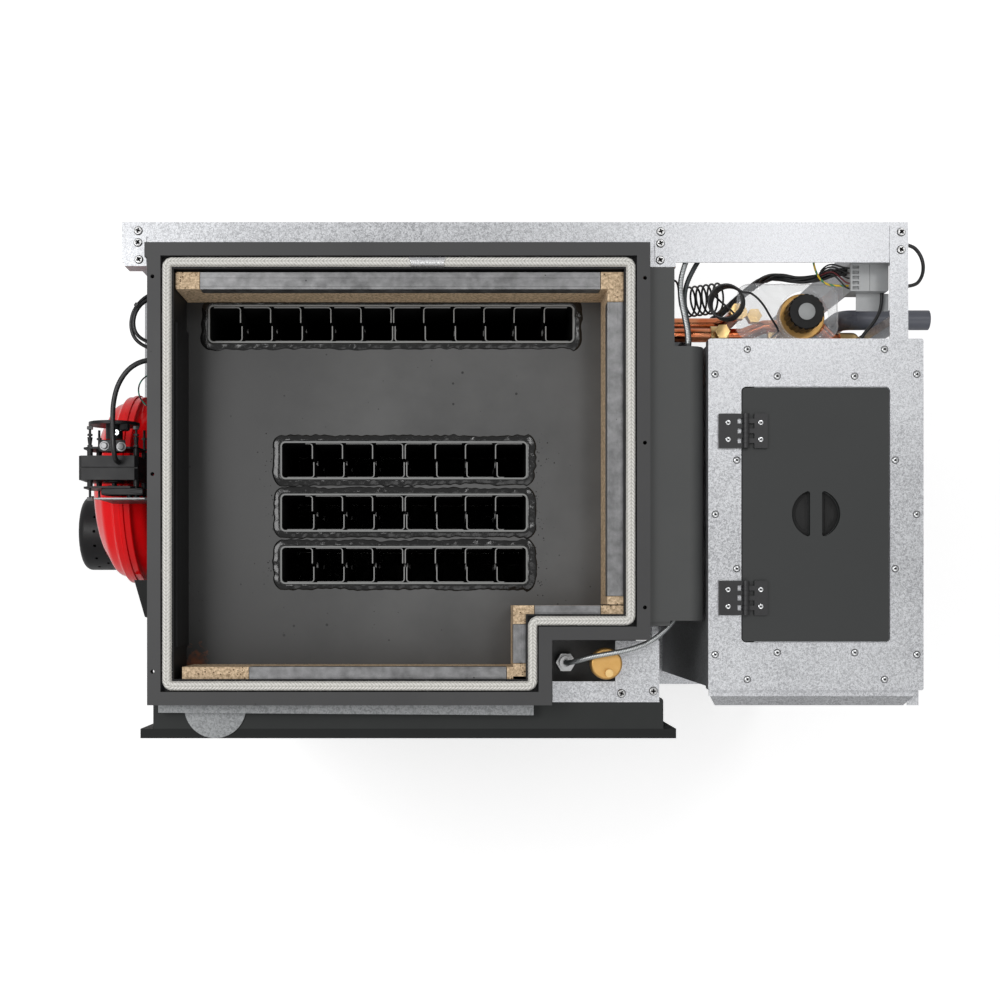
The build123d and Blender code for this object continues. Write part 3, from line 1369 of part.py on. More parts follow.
# Smoke fan housing: scroll, outlet box, flue spigot to the back and the motor can
scroll_x = (fan_face_x - fan_scroll_width, fan_face_x)
outlet_z = (fan_z + fan_scroll_radius - 76, fan_z + fan_scroll_radius)
outlet_y = 66.0
flue_x = scroll_x[0] + fan_scroll_width / 2 - 11.5
flue_z = middle(outlet_z)
can_x = (scroll_x[0] - can_length, scroll_x[0])
with BuildPart() as fan_housing:
    rod((middle(scroll_x), fan_y, fan_z), fan_scroll_radius, fan_scroll_width, "X")
    block(scroll_x, (fan_y, outlet_y), outlet_z)
    rod((middle(scroll_x), fan_y, fan_z), fan_scroll_radius - fan_sheet, fan_scroll_width - 2 * fan_sheet, "X",
        Mode.SUBTRACT)
    block(grown(scroll_x, -fan_sheet), (fan_y, outlet_y), grown(outlet_z, -fan_sheet), Mode.SUBTRACT)
    block((flue_x - flue_radius - 4, scroll_x[1]), (outlet_y, outlet_y + fan_sheet), grown(outlet_z, 2))
    rod((flue_x, (outlet_y + flue_end_y) / 2, flue_z), flue_radius, flue_end_y - outlet_y, "Y")
    rod((flue_x, (outlet_y + flue_end_y) / 2, flue_z), flue_radius - flue_wall, flue_end_y - outlet_y, "Y",
        Mode.SUBTRACT)
    rod((scroll_x[1], fan_y, fan_z), fan_inlet_radius, 3 * fan_sheet, "X", Mode.SUBTRACT)
    rod((middle(can_x), fan_y, fan_z), can_radius, can_length, "X")
    rod((can_x[1] - 12, fan_y, fan_z), fan_shaft_radius + 0.6, 40, "X", Mode.SUBTRACT)
    rod((scroll_x[0] + fan_sheet / 2, fan_y, fan_z), fan_shaft_radius + running_gap, 20, "X", Mode.SUBTRACT)
    block((scroll_x[0] - sheet_seam, scroll_x[0]), (fan_y - 60, fan_y + 60), (fan_z - 60, fan_z + 60), Mode.SUBTRACT)
    block(grown(scroll_x, 30), (outlet_y + fan_sheet, outlet_y + fan_sheet + sheet_seam), grown(outlet_z, 20),
          Mode.SUBTRACT)
fan_housing.part.label = "fan_housing"
export_step(fan_housing.part, "parts/fan_housing.step")

# Fan impeller: back plate, hub, straight blades and its shaft
impeller_x = (scroll_x[0] + fan_sheet + 6, scroll_x[0] + fan_sheet + 6 + impeller_width)
with BuildPart() as fan_impeller:
    rod((impeller_x[0] + 1, fan_y, fan_z), impeller_radius, 2, "X")
    rod((impeller_x[0] + 10, fan_y, fan_z), 13, 20, "X")
    rod((impeller_x[0] - 15, fan_y, fan_z), fan_shaft_radius, 40, "X")
    with Locations(Plane(origin=(impeller_x[0], fan_y, fan_z), x_dir=(0, 1, 0), z_dir=(1, 0, 0))):
        with PolarLocations((impeller_radius + 40) / 2, impeller_blades):
            Box(impeller_radius - 40, 2, impeller_width, align=(Align.CENTER, Align.CENTER, Align.MIN))
fan_impeller.part.label = "fan_impeller"
export_step(fan_impeller.part, "parts/fan_impeller.step")

# Fan guard: perforated cup over the cooling end of the fan motor
guard_x = (can_x[0] - guard_length, can_x[0])
guard_rows = (guard_x[0] + 32, guard_x[0] + 52)
with BuildPart() as fan_guard:
    rod((middle(guard_x), fan_y, fan_z), guard_radius, guard_length, "X")
    rounded_edge = fan_guard.edges().filter_by(GeomType.CIRCLE).sort_by(Axis.X)[0]
    fillet(rounded_edge, guard_round)
    inner_guard = (guard_x[0] + guard_wall, guard_x[1] - guard_wall)
    with BuildPart(mode=Mode.PRIVATE) as guard_core:
        rod((middle(inner_guard), fan_y, fan_z), guard_radius - guard_wall, inner_guard[1] - inner_guard[0], "X")
        core_edge = guard_core.edges().filter_by(GeomType.CIRCLE).sort_by(Axis.X)[0]
        fillet(core_edge, guard_round - guard_wall)
    add(guard_core.part, mode=Mode.SUBTRACT)
    rod((guard_x[1], fan_y, fan_z), can_radius - 14, 4 * guard_wall, "X", Mode.SUBTRACT)
    for row, x in enumerate(guard_rows):
        with Locations(Plane(origin=(x, fan_y, fan_z), x_dir=(0, 1, 0), z_dir=(1, 0, 0))):
            with PolarLocations(guard_radius, guard_holes, start_angle=row * 180 / guard_holes):
                Cylinder(guard_hole_radius, 4 * guard_wall, rotation=(0, 90, 0), mode=Mode.SUBTRACT)
fan_guard.part.label = "fan_guard"
export_step(fan_guard.part, "parts/fan_guard.step")

# Expansion vessel: two dished halves with a rolled seam, on a short stub from the jacket
vessel_left_x = vessel_seam_x - vessel_half_depth
vessel_right_x = vessel_seam_x + vessel_half_depth
dish = [(0.0, 0.0), (0.36, 3.1), (0.555, 8.2), (0.722, 17.3), (0.835, 28.3), (0.915, 38.2), (0.977, 54.3)]
shoulder = vessel_half_depth - vessel_side
with BuildPart() as expansion_vessel:
    with BuildSketch(Plane.XY) as half_section:
        with BuildLine():
            left_dish = Spline(
                *[(vessel_left_x + depth, vessel_y + ratio * vessel_radius) for ratio, depth in dish],
                (vessel_left_x + shoulder, vessel_y + vessel_radius),
                tangents=[(0, 1), (1, 0)],
            )
            rim = Polyline(
                left_dish @ 1,
                (vessel_seam_x - 4, vessel_y + vessel_radius),
                (vessel_seam_x - 2.5, vessel_y + vessel_radius + vessel_seam_lip),
                (vessel_seam_x + 2.5, vessel_y + vessel_radius + vessel_seam_lip),
                (vessel_seam_x + 4, vessel_y + vessel_radius),
                (vessel_right_x - shoulder, vessel_y + vessel_radius),
            )
            right_dish = Spline(
                rim @ 1,
                *[(vessel_right_x - depth, vessel_y + ratio * vessel_radius) for ratio, depth in dish[::-1]],
                tangents=[(1, 0), (0, -1)],
            )
            Line(right_dish @ 1, left_dish @ 0)
        make_face()
    vessel_axis = Axis((vessel_seam_x, vessel_y, 0), (1, 0, 0))
    revolved = revolve(half_section.sketch, axis=vessel_axis, mode=Mode.PRIVATE)
    add(revolved.moved(Location((0, 0, vessel_z))))
    rod(((vessel_right_x - 10 + jacket_left) / 2, vessel_y, vessel_z), vessel_stub_radius,
        jacket_left - vessel_right_x + 10, "X")
expansion_vessel.part.label = "expansion_vessel"
export_step(expansion_vessel.part, "parts/expansion_vessel.step")

# Black gusset plate in front of the vessel
gusset_z = (878.0, 882.0)
with BuildPart() as vessel_bracket:
    with BuildSketch(Plane.XY.offset(gusset_z[0])):
        with BuildLine():
            Polyline(
                (jacket_left, -128.0),
                (-575.0, -128.0),
                (-557.0, -190.5),
                (jacket_left, -222.0),
                close=True,
            )
        make_face()
    extrude(amount=gusset_z[1] - gusset_z[0])
    block((jacket_left - 3, jacket_left), (-222.0, -128.0), (gusset_z[0] - 30, gusset_z[1]))
vessel_bracket.part.label = "vessel_bracket"
export_step(vessel_bracket.part, "parts/vessel_bracket.step")

# Drive motor: laminated core with the rotor bore, stud holes and a middle groove
core_x = grown((motor_x - 1, motor_x - 1), core_width / 2)
core_y_span = grown((core_y, core_y), core_depth / 2)
core_z = grown((motor_z, motor_z), core_height / 2)
rotor_radius = 17.0
stud_x = (motor_x - 31.4, motor_x + 42.5 - 1)
stud_z = (motor_z + 30.0, motor_z - 30.0)
stud_span = (0.0, 112.0)
with BuildPart() as motor_core:
    block(core_x, core_y_span, core_z)
    chamfer(motor_core.edges().filter_by(Axis.Y), 5)
    block((core_x[0], core_x[1]), grown((core_y, core_y), 1.2), (core_z[1] - 4, core_z[1]), Mode.SUBTRACT)
    rod((motor_x, core_y, motor_z), rotor_radius + 0.8, core_depth, "Y", Mode.SUBTRACT)
    for x in stud_x:
        for z in stud_z:
            rod((x, core_y, z), motor_stud_radius + 0.4, core_depth, "Y", Mode.SUBTRACT)
motor_core.part.label = "motor_core"
export_step(motor_core.part, "parts/motor_core.step")

# Motor brackets: bearing plates, spacers and studs, with the strip that reaches the boiler
front_plate_y = (14.0, 17.0)
rear_plate_y = (76.0, 79.0)
strip_y = (-5.0, -1.0)
plate_x = grown((motor_x + 1, motor_x + 1), 44)
plate_z_span = grown((motor_z, motor_z), 36)
with BuildPart() as nut:
    with BuildSketch(Plane.XZ):
        RegularPolygon(4.2, 6)
    extrude(amount=1.5, both=True)
with BuildPart() as motor_brackets:
    for span in (front_plate_y, rear_plate_y):
        block(plate_x, span, plate_z_span)
        chamfer_edges = motor_brackets.edges().filter_by(Axis.Y).filter_by_position(Axis.Y, *span)
        chamfer(chamfer_edges, 12)
        rod((motor_x, middle(span), motor_z), 11, 9, "Y")
    for x in stud_x:
        for z in stud_z:
            rod((x, middle((front_plate_y[1], core_y_span[0])), z), 4.5, core_y_span[0] - front_plate_y[1], "Y")
            rod((x, middle((core_y_span[1], rear_plate_y[0])), z), 4.5, rear_plate_y[0] - core_y_span[1], "Y")
            rod((x, middle(stud_span), z), motor_stud_radius, stud_span[1] - stud_span[0], "Y")
    with Locations(*[(x, y, z) for x in stud_x for z in stud_z for y in (rear_plate_y[1] + 1.5, 98.0)]):
        add(nut.part)
    block((motor_x - 14, jacket_left), strip_y, (motor_z - 52, motor_z + 35))
    for z in (motor_z - 25, motor_z + 25):
        rod((motor_x + 30, middle((strip_y[1], front_plate_y[0])), z), 4.5, front_plate_y[0] - strip_y[1], "Y")
    rod((motor_x, 46, motor_z), motor_shaft_radius + running_gap, 110, "Y", Mode.SUBTRACT)
motor_brackets.part.label = "motor_brackets"
export_step(motor_brackets.part, "parts/motor_brackets.step")

# Motor rotor: rotor body, shaft, hub and disc
disc_thickness = 5.0
with BuildPart() as motor_rotor:
    rod((motor_x, core_y, motor_z), rotor_radius, core_depth + 4, "Y")
    rod((motor_x, (4 + motor_disc_y) / 2, motor_z), motor_shaft_radius, motor_disc_y - 4, "Y")
    rod((motor_x, 105, motor_z), motor_hub_radius, 22, "Y")
    rod((motor_x, motor_disc_y, motor_z), motor_disc_radius, disc_thickness, "Y")
motor_rotor.part.label = "motor_rotor"
export_step(motor_rotor.part, "parts/motor_rotor.step")

# Corner plates over the notch, resting on the front box
with BuildPart() as corner_plates:
    block((121.6, 218.0), (-319.3, -287.3), corner_plate_z)
    block((218.3, 286.0), (-319.3, -224.7), corner_plate_z)
    block((274.6, 284.6), (-224.7, -203.0), corner_plate_z)
corner_plates.part.label = "corner_plates"
export_step(corner_plates.part, "parts/corner_plates.step")

# Thermowell: hexagon on the tube plate with a pale ring round a dark bore
well_top_z = 1104.0
with BuildPart() as thermowell:
    with BuildSketch(Plane.XY.offset(plate_z)):
        with Locations((well_x, well_y)):
            RegularPolygon(well_size / 2, 6)
    extrude(amount=well_top_z - 12 - plate_z)
    rod((well_x, well_y, well_top_z - 7), 10.5, 14, "Z")
    rod((well_x, well_y, well_top_z), 6.0, 16, "Z", Mode.SUBTRACT)
thermowell.part.label = "thermowell"
export_step(thermowell.part, "parts/thermowell.step")

# Air vent: brass body on a neck, with a stub that carries the small turning cap
vent_body_z = (1125.0, 1150.0)
vent_cap_place = (vent_x + 3.1, vent_y - 14.0)
vent_cap_z = (vent_body_z[1] + 0.5, vent_body_z[1] + 8.0)
with BuildPart() as air_vent:
    rod((vent_x, vent_y, (plate_z + vent_body_z[0]) / 2), vent_neck_radius, vent_body_z[0] - plate_z, "Z")
    with BuildSketch(Plane.XY.offset(plate_z)):
        with Locations((vent_x, vent_y)):
            RegularPolygon(vent_neck_radius + 3, 6)
    extrude(amount=16)
    rod((vent_x, vent_y, middle(vent_body_z)), vent_radius, vent_body_z[1] - vent_body_z[0], "Z")
    fillet(air_vent.edges().filter_by(GeomType.CIRCLE).sort_by(Axis.Z)[-1], 4)
    rod((*vent_cap_place, vent_body_z[1] + 2), 3, 8, "Z")
air_vent.part.label = "air_vent"
export_step(air_vent.part, "parts/air_vent.step")

with BuildPart() as air_vent_cap:
    rod((*vent_cap_place, middle(vent_cap_z)), vent_cap_radius, vent_cap_z[1] - vent_cap_z[0], "Z")
    with Locations((*vent_cap_place, middle(vent_cap_z))):
        with PolarLocations(vent_cap_radius, 12):
            Cylinder(0.6, vent_cap_z[1] - vent_cap_z[0], mode=Mode.SUBTRACT)
    rod((*vent_cap_place, vent_cap_z[0]), 3 + running_gap, 13, "Z", Mode.SUBTRACT)
air_vent_cap.part.label = "air_vent_cap"
export_step(air_vent_cap.part, "parts/air_vent_cap.step")


def pipe_run(points, radius, mode=Mode.ADD, bend=pipe_bend):
    """Sweep a round bar along a pipe's route with bends of one radius."""
    with BuildLine() as route:
        if len(points) > 2:
            FilletPolyline(*points, radius=bend)
        else:
            Line(*points)
    with BuildSketch(Plane(origin=route.line @ 0, z_dir=route.line % 0)) as section:
        Circle(radius)
    sweep(section.sketch, path=route.line, mode=mode)


# Copper pipes: flow, relief, return and the leg under the mixing valve
tee_x = (385.0, 413.0)
valve_port_x = (valve_x - 28, valve_x + 28)
valve_z = (960.0, knob_z)
pump_ports_x = grown((pump_x, pump_x), 42)
pipe_runs = [
    [(jacket_right, flow_pipe_y, flow_z), (tee_x[0], flow_pipe_y, flow_z)],
    [
        (tee_x[1], flow_pipe_y, flow_z),
        (438.0, flow_pipe_y, flow_z),
        (472.0, pipe_plane_y, flow_z),
        (valve_port_x[0], pipe_plane_y, flow_z),
    ],
    [
        (valve_port_x[1], pipe_plane_y, flow_z),
        (valve_port_x[1] + 8, pipe_plane_y, flow_z),
        (valve_port_x[1] + 32, riser_y, flow_z),
        (riser_x - elbow_reach, riser_y, flow_z),
    ],
    [
        (riser_x, riser_y, flow_z - elbow_reach),
        (riser_x, riser_y, flow_end_z + 60),
        (riser_x, pipe_plane_y, flow_end_z + 35),
        (riser_x, pipe_plane_y, flow_end_z),
        (pipe_end_x, pipe_plane_y, flow_end_z),
    ],
    [(jacket_right, relief_y, relief_z), (421.0, relief_y, relief_z), (421.0, relief_y, 1040.0)],
    [(jacket_right, pipe_plane_y, return_z), (pump_ports_x[0], pipe_plane_y, return_z)],
    [
        (pump_ports_x[1], pipe_plane_y, return_z),
        (566.0, pipe_plane_y, return_z),
        (590.0, pipe_plane_y, return_end_z),
        (pipe_end_x, pipe_plane_y, return_end_z),
    ],
    [(valve_x, pipe_plane_y, valve_z[0]), (valve_x, pipe_plane_y, return_z)],
]
run_bends = [pipe_bend] * len(pipe_runs)
run_bends[2] = swan_neck_bend
with BuildPart() as copper_pipes:
    for run, bend in zip(pipe_runs, run_bends):
        pipe_run(run, pipe_radius, bend=bend)
    for run, bend in zip(pipe_runs, run_bends):
        pipe_run(run, pipe_bore_radius, Mode.SUBTRACT, bend=bend)
copper_pipes.part.label = "copper_pipes"
export_step(copper_pipes.part, "parts/copper_pipes.step")

# Brass fittings: tee on the flow pipe, two hexagons on the relief pipe and a side union
fitting_radius = 14.5
clamp_x = (477.0, 489.0)
clamp_y = (pipe_plane_y - pipe_radius - seat_gap - 14, pipe_plane_y - pipe_radius - seat_gap)
clamp_z = (flow_z + 3, flow_z + 15)
relief_top_z = 1040.0
with BuildPart() as brass_fittings:
    rod((middle(tee_x), flow_pipe_y, flow_z), fitting_radius, tee_x[1] - tee_x[0], "X")
    rod((middle(tee_x), flow_pipe_y, flow_z + 18), 9, 36, "Z")
    with BuildSketch(Plane.XY.offset(flow_z + 24)):
        with Locations((middle(tee_x), flow_pipe_y)):
            RegularPolygon(12, 6)
    extrude(amount=14)
    rod((riser_x - elbow_reach / 2, riser_y, flow_z), elbow_radius, elbow_reach, "X")
    rod((riser_x, riser_y, flow_z - elbow_reach / 2), elbow_radius, elbow_reach, "Z")
    with Locations((riser_x, riser_y, flow_z)):
        Sphere(elbow_radius)
    rod((riser_x - elbow_reach / 2, riser_y, flow_z), pipe_bore_radius, elbow_reach, "X", Mode.SUBTRACT)
    rod((riser_x, riser_y, flow_z - elbow_reach / 2), pipe_bore_radius, elbow_reach, "Z", Mode.SUBTRACT)
    rod((middle(tee_x), flow_pipe_y, flow_z), pipe_bore_radius, tee_x[1] - tee_x[0], "X", Mode.SUBTRACT)
    with BuildSketch(Plane.XY.offset(relief_top_z)):
        with Locations((421.0, relief_y)):
            RegularPolygon(14, 6)
        with Locations((446.0, relief_y - 7)):
            RegularPolygon(12, 6)
    extrude(amount=17)
    block((421.0, 446.0), (relief_y - 8, relief_y - 2), (relief_top_z + 4, relief_top_z + 12))
    block(clamp_x, clamp_y, clamp_z)
brass_fittings.part.label = "brass_fittings"
export_step(brass_fittings.part, "parts/brass_fittings.step")

# Mixing valve: body with two side ports, a lower port and the spindle of the knob
valve_place = (valve_x - 1.5, pipe_plane_y + 7)
knob_place = (valve_x - 2, pipe_plane_y + 8.6)
spindle = 4.0
with BuildPart() as mixing_valve:
    rod((*valve_place, (valve_z[0] + 8 + valve_z[1]) / 2), valve_core_radius, valve_z[1] - valve_z[0] - 8, "Z")
    rod((*valve_place, valve_z[1] - 9), valve_body_radius, 18, "Z")
    fillet(mixing_valve.edges().filter_by(GeomType.CIRCLE).sort_by(Axis.Z)[-1], 2)
    rod((middle(valve_port_x), pipe_plane_y, flow_z), 15, valve_port_x[1] - valve_port_x[0], "X")
    rod((valve_x, pipe_plane_y, valve_z[0] + 20), 15, 40, "Z")
    rod((middle(valve_port_x), pipe_plane_y, flow_z), pipe_bore_radius, valve_port_x[1] - valve_port_x[0], "X",
        Mode.SUBTRACT)
    rod((valve_x, pipe_plane_y, valve_z[0] + 20), pipe_bore_radius, 40, "Z", Mode.SUBTRACT)
    rod((*knob_place, valve_z[1] + 8), spindle, 20, "Z")
mixing_valve.part.label = "mixing_valve"
export_step(mixing_valve.part, "parts/mixing_valve.step")

# Valve knob: ribbed round knob with a raised middle disc
knob_span = (knob_z + 0.5, knob_z + 0.5 + knob_height)
with BuildPart() as valve_knob:
    rod((*knob_place, middle(knob_span)), knob_radius, knob_height, "Z")
    chamfer(valve_knob.edges().filter_by(GeomType.CIRCLE).sort_by(Axis.Z)[-1], 2)
    with Locations((*knob_place, middle(knob_span))):
        with PolarLocations(knob_radius + 1.5, knob_ribs):
            Cylinder(3, knob_height, mode=Mode.SUBTRACT)
    rod((*knob_place, knob_span[1]), 13.8, 2, "Z")
    rod((*knob_place, knob_span[0] + 8), spindle + running_gap, 22, "Z", Mode.SUBTRACT)
valve_knob.part.label = "valve_knob"
export_step(valve_knob.part, "parts/valve_knob.step")

# Circulation pump on the return pipe, its motor to the back
with BuildPart() as circulation_pump:
    rod((pump_x, pipe_plane_y, return_z), 15, pump_ports_x[1] - pump_ports_x[0], "X")
    rod((pump_x, pipe_plane_y, return_z), 34, 44, "Y")
    rod((pump_x, pipe_plane_y + 52, return_z), 40, 60, "Y")
    rod((pump_x, pipe_plane_y, return_z), pipe_bore_radius, pump_ports_x[1] - pump_ports_x[0], "X", Mode.SUBTRACT)
    block((pump_x - 30, pump_x + 30), (pipe_plane_y + 30, pipe_plane_y + 78), (return_z + 36, return_z + 62))
circulation_pump.part.label = "circulation_pump"
export_step(circulation_pump.part, "parts/circulation_pump.step")

# Drain pipe: grey tube from its cut end to a leg that goes down, with a strap to the rear post
drain_low_z = 640.0
strap_x = (drain_leg_x + 4, drain_leg_x + 14)
strap_end_x = drain_leg_x + 30
strap_sheet = 3.0
strap_z = (700.0, 716.0)
with BuildPart() as drain_pipe:
    drain_run = [(drain_end_x, drain_y, drain_z), (drain_leg_x, drain_y, drain_z), (drain_leg_x, drain_y, drain_low_z)]
    pipe_run(drain_run, drain_radius, bend=drain_bend)
    block(strap_x, (drain_y, post_y[0]), strap_z)
    block((strap_x[0], strap_end_x), (post_y[0] - strap_sheet, post_y[0]), strap_z)
    pipe_run(drain_run, drain_radius - drain_wall, Mode.SUBTRACT, bend=drain_bend)
drain_pipe.part.label = "drain_pipe"
export_step(drain_pipe.part, "parts/drain_pipe.step")

# Control side: terminal block and controller on a bracket that hangs from the rear rail
control_z = (control_top_z - control_height, control_top_z)
control_y_span = (control_y - control_depth, control_y)
control_x = (terminal_x, controller_x + controller_width)
with BuildPart() as control_box:
    block((terminal_x, controller_x - 0.6), control_y_span, control_z)
    for k in range(5):
        y = control_y_span[0] + 5 + 8 * k
        block((terminal_x + 3, terminal_x + 13), (y - 2.5, y + 2.5), (control_z[1] - 6, control_z[1]), Mode.SUBTRACT)
    block((controller_x, control_x[1]), control_y_span, control_z)
    fillet(control_box.edges().filter_by(Axis.Z).sort_by(Axis.X)[-2:], 2)
    block((control_x[0], control_x[1] + 5), (control_y, control_y + 2), (control_z[0] + 6, rail_z[0]))
    block((595.0, 645.6), (287.0, control_y_span[0]), (1098.0, 1100.0))
control_box.part.label = "control_box"
export_step(control_box.part, "parts/control_box.step")


def biarcs(points, tangents):
    """Two tangent arcs between each pair of points, for turns that no single arc can follow."""
    for start, end, leave, arrive in zip(points, points[1:], tangents, tangents[1:]):
        chord = end - start
        both = leave + arrive
        spread = 2 * (1 - leave.dot(arrive))
        along = chord.dot(both)
        reach = (sqrt(along**2 + spread * chord.dot(chord)) - along) / spread
        joint = (start + end + (leave - arrive) * reach) * 0.5
        first = TangentArc(start, joint, tangent=leave)
        TangentArc(joint, end, tangent=first % 1)


def helix_points(centre, side, up, radius, pitch, start_angle, turned, steps):
    """Points and unit tangents of a helix at equal steps of the angle it turns, in degrees."""
    axis = side.cross(up)
    points = []
    tangents = []
    for k in range(steps + 1):
        share = turned * k / steps
        angle = radians(start_angle + share)
        outward = side * cos(angle) + up * sin(angle)
        points.append(centre + outward * radius + axis * (pitch * share / 360))
        around = up * cos(angle) - side * sin(angle)
        tangents.append((around * (2 * pi * radius) + axis * pitch).normalized())
    return points, tangents


def least_gap(line, diameter, samples=900):
    """Smallest free gap of a coiled tube to itself, measured on points along its line."""
    places = [line @ (k / samples) for k in range(samples + 1)]
    step = line.length / samples
    skip = int(4 * diameter / step) + 1
    nearest = min(
        (places[i] - places[k]).length for i in range(len(places)) for k in range(i + skip, len(places))
    )
    return nearest - diameter


# Capillary tube: one hexagonal tube from the casing through two coils to a clamp on the flow pipe
left_coil_radius = 23.5
left_coil_pitch = 9.8
left_coil_turns = 6
left_coil_start = Vector(341.0, 314.0, 1034.0)
left_coil_tilt = radians(36.0)
right_coil_radius = 26.0
right_coil_pitch = 4.2
right_coil_tilt = radians(22.0)
right_coil_start_angle = 51.0
right_coil_turned = 2418.0
right_coil_steps = 14
right_coil_start = Vector(396.0, 297.0, 1103.0)
left_points, left_tangents = helix_points(
    left_coil_start,
    Vector(0, 1, 0),
    Vector(-sin(left_coil_tilt), 0, cos(left_coil_tilt)),
    left_coil_radius,
    left_coil_pitch,
    90,
    360 * left_coil_turns,
    2 * left_coil_turns,
)
right_points, right_tangents = helix_points(
    right_coil_start,
    Vector(cos(right_coil_tilt), 0, sin(right_coil_tilt)),
    Vector(0, -1, 0),
    right_coil_radius,
    -right_coil_pitch,
    right_coil_start_angle,
    right_coil_turned,
    right_coil_steps,
)
lead_in = left_points[0] - left_tangents[0] * 25
lead_out = right_points[-1] + right_tangents[-1] * 16
capillary_start = (casing_step_x, lead_in.Y, casing_top_z - casing_drop + 12)
capillary_lead = [
    right_points[-1],
    lead_out,
    (424.0, 309.0, lead_out.Z - 4),
    (444.0, 294.0, lead_out.Z - 12),
    (461.0, 276.0, 1106.0),
    (474.0, 264.5, 1090.0),
    (482.0, 261.5, 1067.0),
    (middle(clamp_x), 262.0, 1041.0),
    (middle(clamp_x), 262.0, clamp_z[1]),
]
capillary_entry = [capillary_start, (casing_step_x + 12, *capillary_start[1:]), lead_in, left_points[0]]
with BuildPart() as capillary_coils:
    with BuildLine() as capillary_line:
        FilletPolyline(*capillary_entry, radius=corner_radii(capillary_entry))
        biarcs(left_points, left_tangents)
        biarcs([left_points[-1], right_points[0]], [left_tangents[-1], right_tangents[0]])
        biarcs(right_points, right_tangents)
        FilletPolyline(*capillary_lead, radius=corner_radii(capillary_lead))
    capillary_path = capillary_line.wire()
    with BuildSketch(Plane(origin=capillary_path @ 0, z_dir=capillary_path % 0)):
        RegularPolygon(capillary_radius, 6)
    sweep(path=capillary_path)
print(f"capillary tube: least gap to itself {least_gap(capillary_path, 2 * capillary_radius):.2f} mm")
capillary_coils.part.label = "capillary_coils"
export_step(capillary_coils.part, "parts/capillary_coils.step")

# Armoured conduits: one from the thermowell to the casing, one from the casing to the rear rail
front_conduit = [
    (well_x, well_y, well_top_z - 8),
    (well_x, well_y, 1120.0),
    (156.8, -255.3, 1142.5),
    (178.2, -248.2, 1155.5),
    (204.0, -243.5, 1160.0),
    (236.0, -237.5, 1160.5),
    (266.0, -226.5, 1157.0),
    (289.0, -210.5, 1150.0),
    (306.0, -192.0, 1142.0),
    (317.0, -172.0, 1137.0),
    (322.0, -152.0, 1135.0),
    (322.0, conduit_block_y, 1135.0),
]
rear_conduit = [
    (325.0, rear_block_y, 1146.0),
    (325.0, 216.0, 1146.0),
    (326.0, 238.0, 1150.0),
    (321.0, 264.0, 1152.0),
    (314.0, 296.0, 1152.0),
    (314.0, 324.0, 1150.0),
    (321.0, 348.0, 1148.0),
    (330.0, 370.0, 1147.0),
    (334.0, 390.0, 1147.0),
    (334.0, rail_back_y - rail_sheet, 1147.0),
]
with BuildPart() as sensor_conduits:
    add(cord_tube("front conduit", front_conduit, conduit_radius))
    add(cord_tube("rear conduit", rear_conduit, conduit_radius))
sensor_conduits.part.label = "sensor_conduits"
export_step(sensor_conduits.part, "parts/sensor_conduits.step")

# Cables: the two loops and the motor cable on the left, the harness and wires at the controller
chamber_side_x = boiler_left + chamber_wall_inset
left_loop_outer = [
    (chamber_side_x, 316.0, 1113.0),
    (-478.0, 316.0, 1113.0),
    (-504.0, 308.0, 1119.0),
    (-523.0, 287.0, 1121.0),
    (-529.0, 262.0, 1121.0),
    (-523.0, 240.0, 1120.0),
    (-504.0, 227.0, 1117.0),
    (-478.0, 222.5, 1112.0),
    (chamber_side_x, 222.5, 1112.0),
]
left_loop_inner = [
    (chamber_side_x, 308.0, 1115.0),
    (-477.0, 308.0, 1115.0),
    (-502.0, 301.5, 1122.0),
    (-518.0, 284.5, 1127.0),
    (-523.5, 263.0, 1127.0),
    (-518.0, 244.5, 1126.0),
    (-501.0, 234.5, 1121.0),
    (-477.0, 231.0, 1114.0),
    (chamber_side_x, 231.0, 1114.0),
]
motor_cable = [
    (chamber_side_x, 208.0, 1110.0),
    (-479.0, 208.0, 1110.0),
    (-506.0, 209.5, 1115.0),
    (-531.0, 197.0, 1117.0),
    (-549.0, 173.0, 1114.0),
    (-557.5, 145.0, 1110.0),
    (-559.0, 116.0, 1108.0),
    (-558.0, 88.0, 1110.0),
    (-556.5, 66.0, 1110.0),
    (-556.0, 54.0, 1098.0),
    (-556.0, 54.0, core_z[1]),
]
green_wire = [
    (chamber_side_x, 193.0, 1104.0),
    (-480.0, 193.0, 1104.0),
    (-504.0, 188.0, 1108.0),
    (-518.0, 174.0, 1109.0),
    (-519.0, 154.0, 1109.0),
    (-506.0, 137.5, 1108.0),
    (-481.0, 130.0, 1104.0),
    (chamber_side_x, 130.0, 1104.0),
]
harness = [
    (415.0, 335.0, return_z + 62.0),
    (415.0, 335.0, 560.0),
    (426.0, 338.0, 680.0),
    (442.0, 343.0, 820.0),
    (452.0, 347.0, 950.0),
    (460.0, 348.5, 1035.0),
    (475.0, 347.0, 1076.0),
    (505.0, 337.0, 1090.0),
    (540.0, 339.0, 1094.0),
    (562.0, 349.0, 1096.0),
    (terminal_x, 349.0, 1096.0),
]
earth_wire = [
    (519.0, rail_back_y - rail_sheet, 1130.0),
    (519.0, 386.0, 1130.0),
    (523.0, 361.0, 1119.0),
    (532.0, 340.0, 1109.0),
    (546.0, 327.5, 1106.0),
    (563.0, 325.0, 1106.0),
    (terminal_x, 325.0, 1106.0),
]
controller_cable = [
    (634.0, control_y_span[0], 1104.0),
    (634.0, 293.0, 1104.0),
    (625.0, 272.0, 1102.0),
    (610.0, 255.0, 1098.0),
    (602.0, 242.0, 1096.0),
    (602.0, hopper_body_y[1], 1096.0),
]
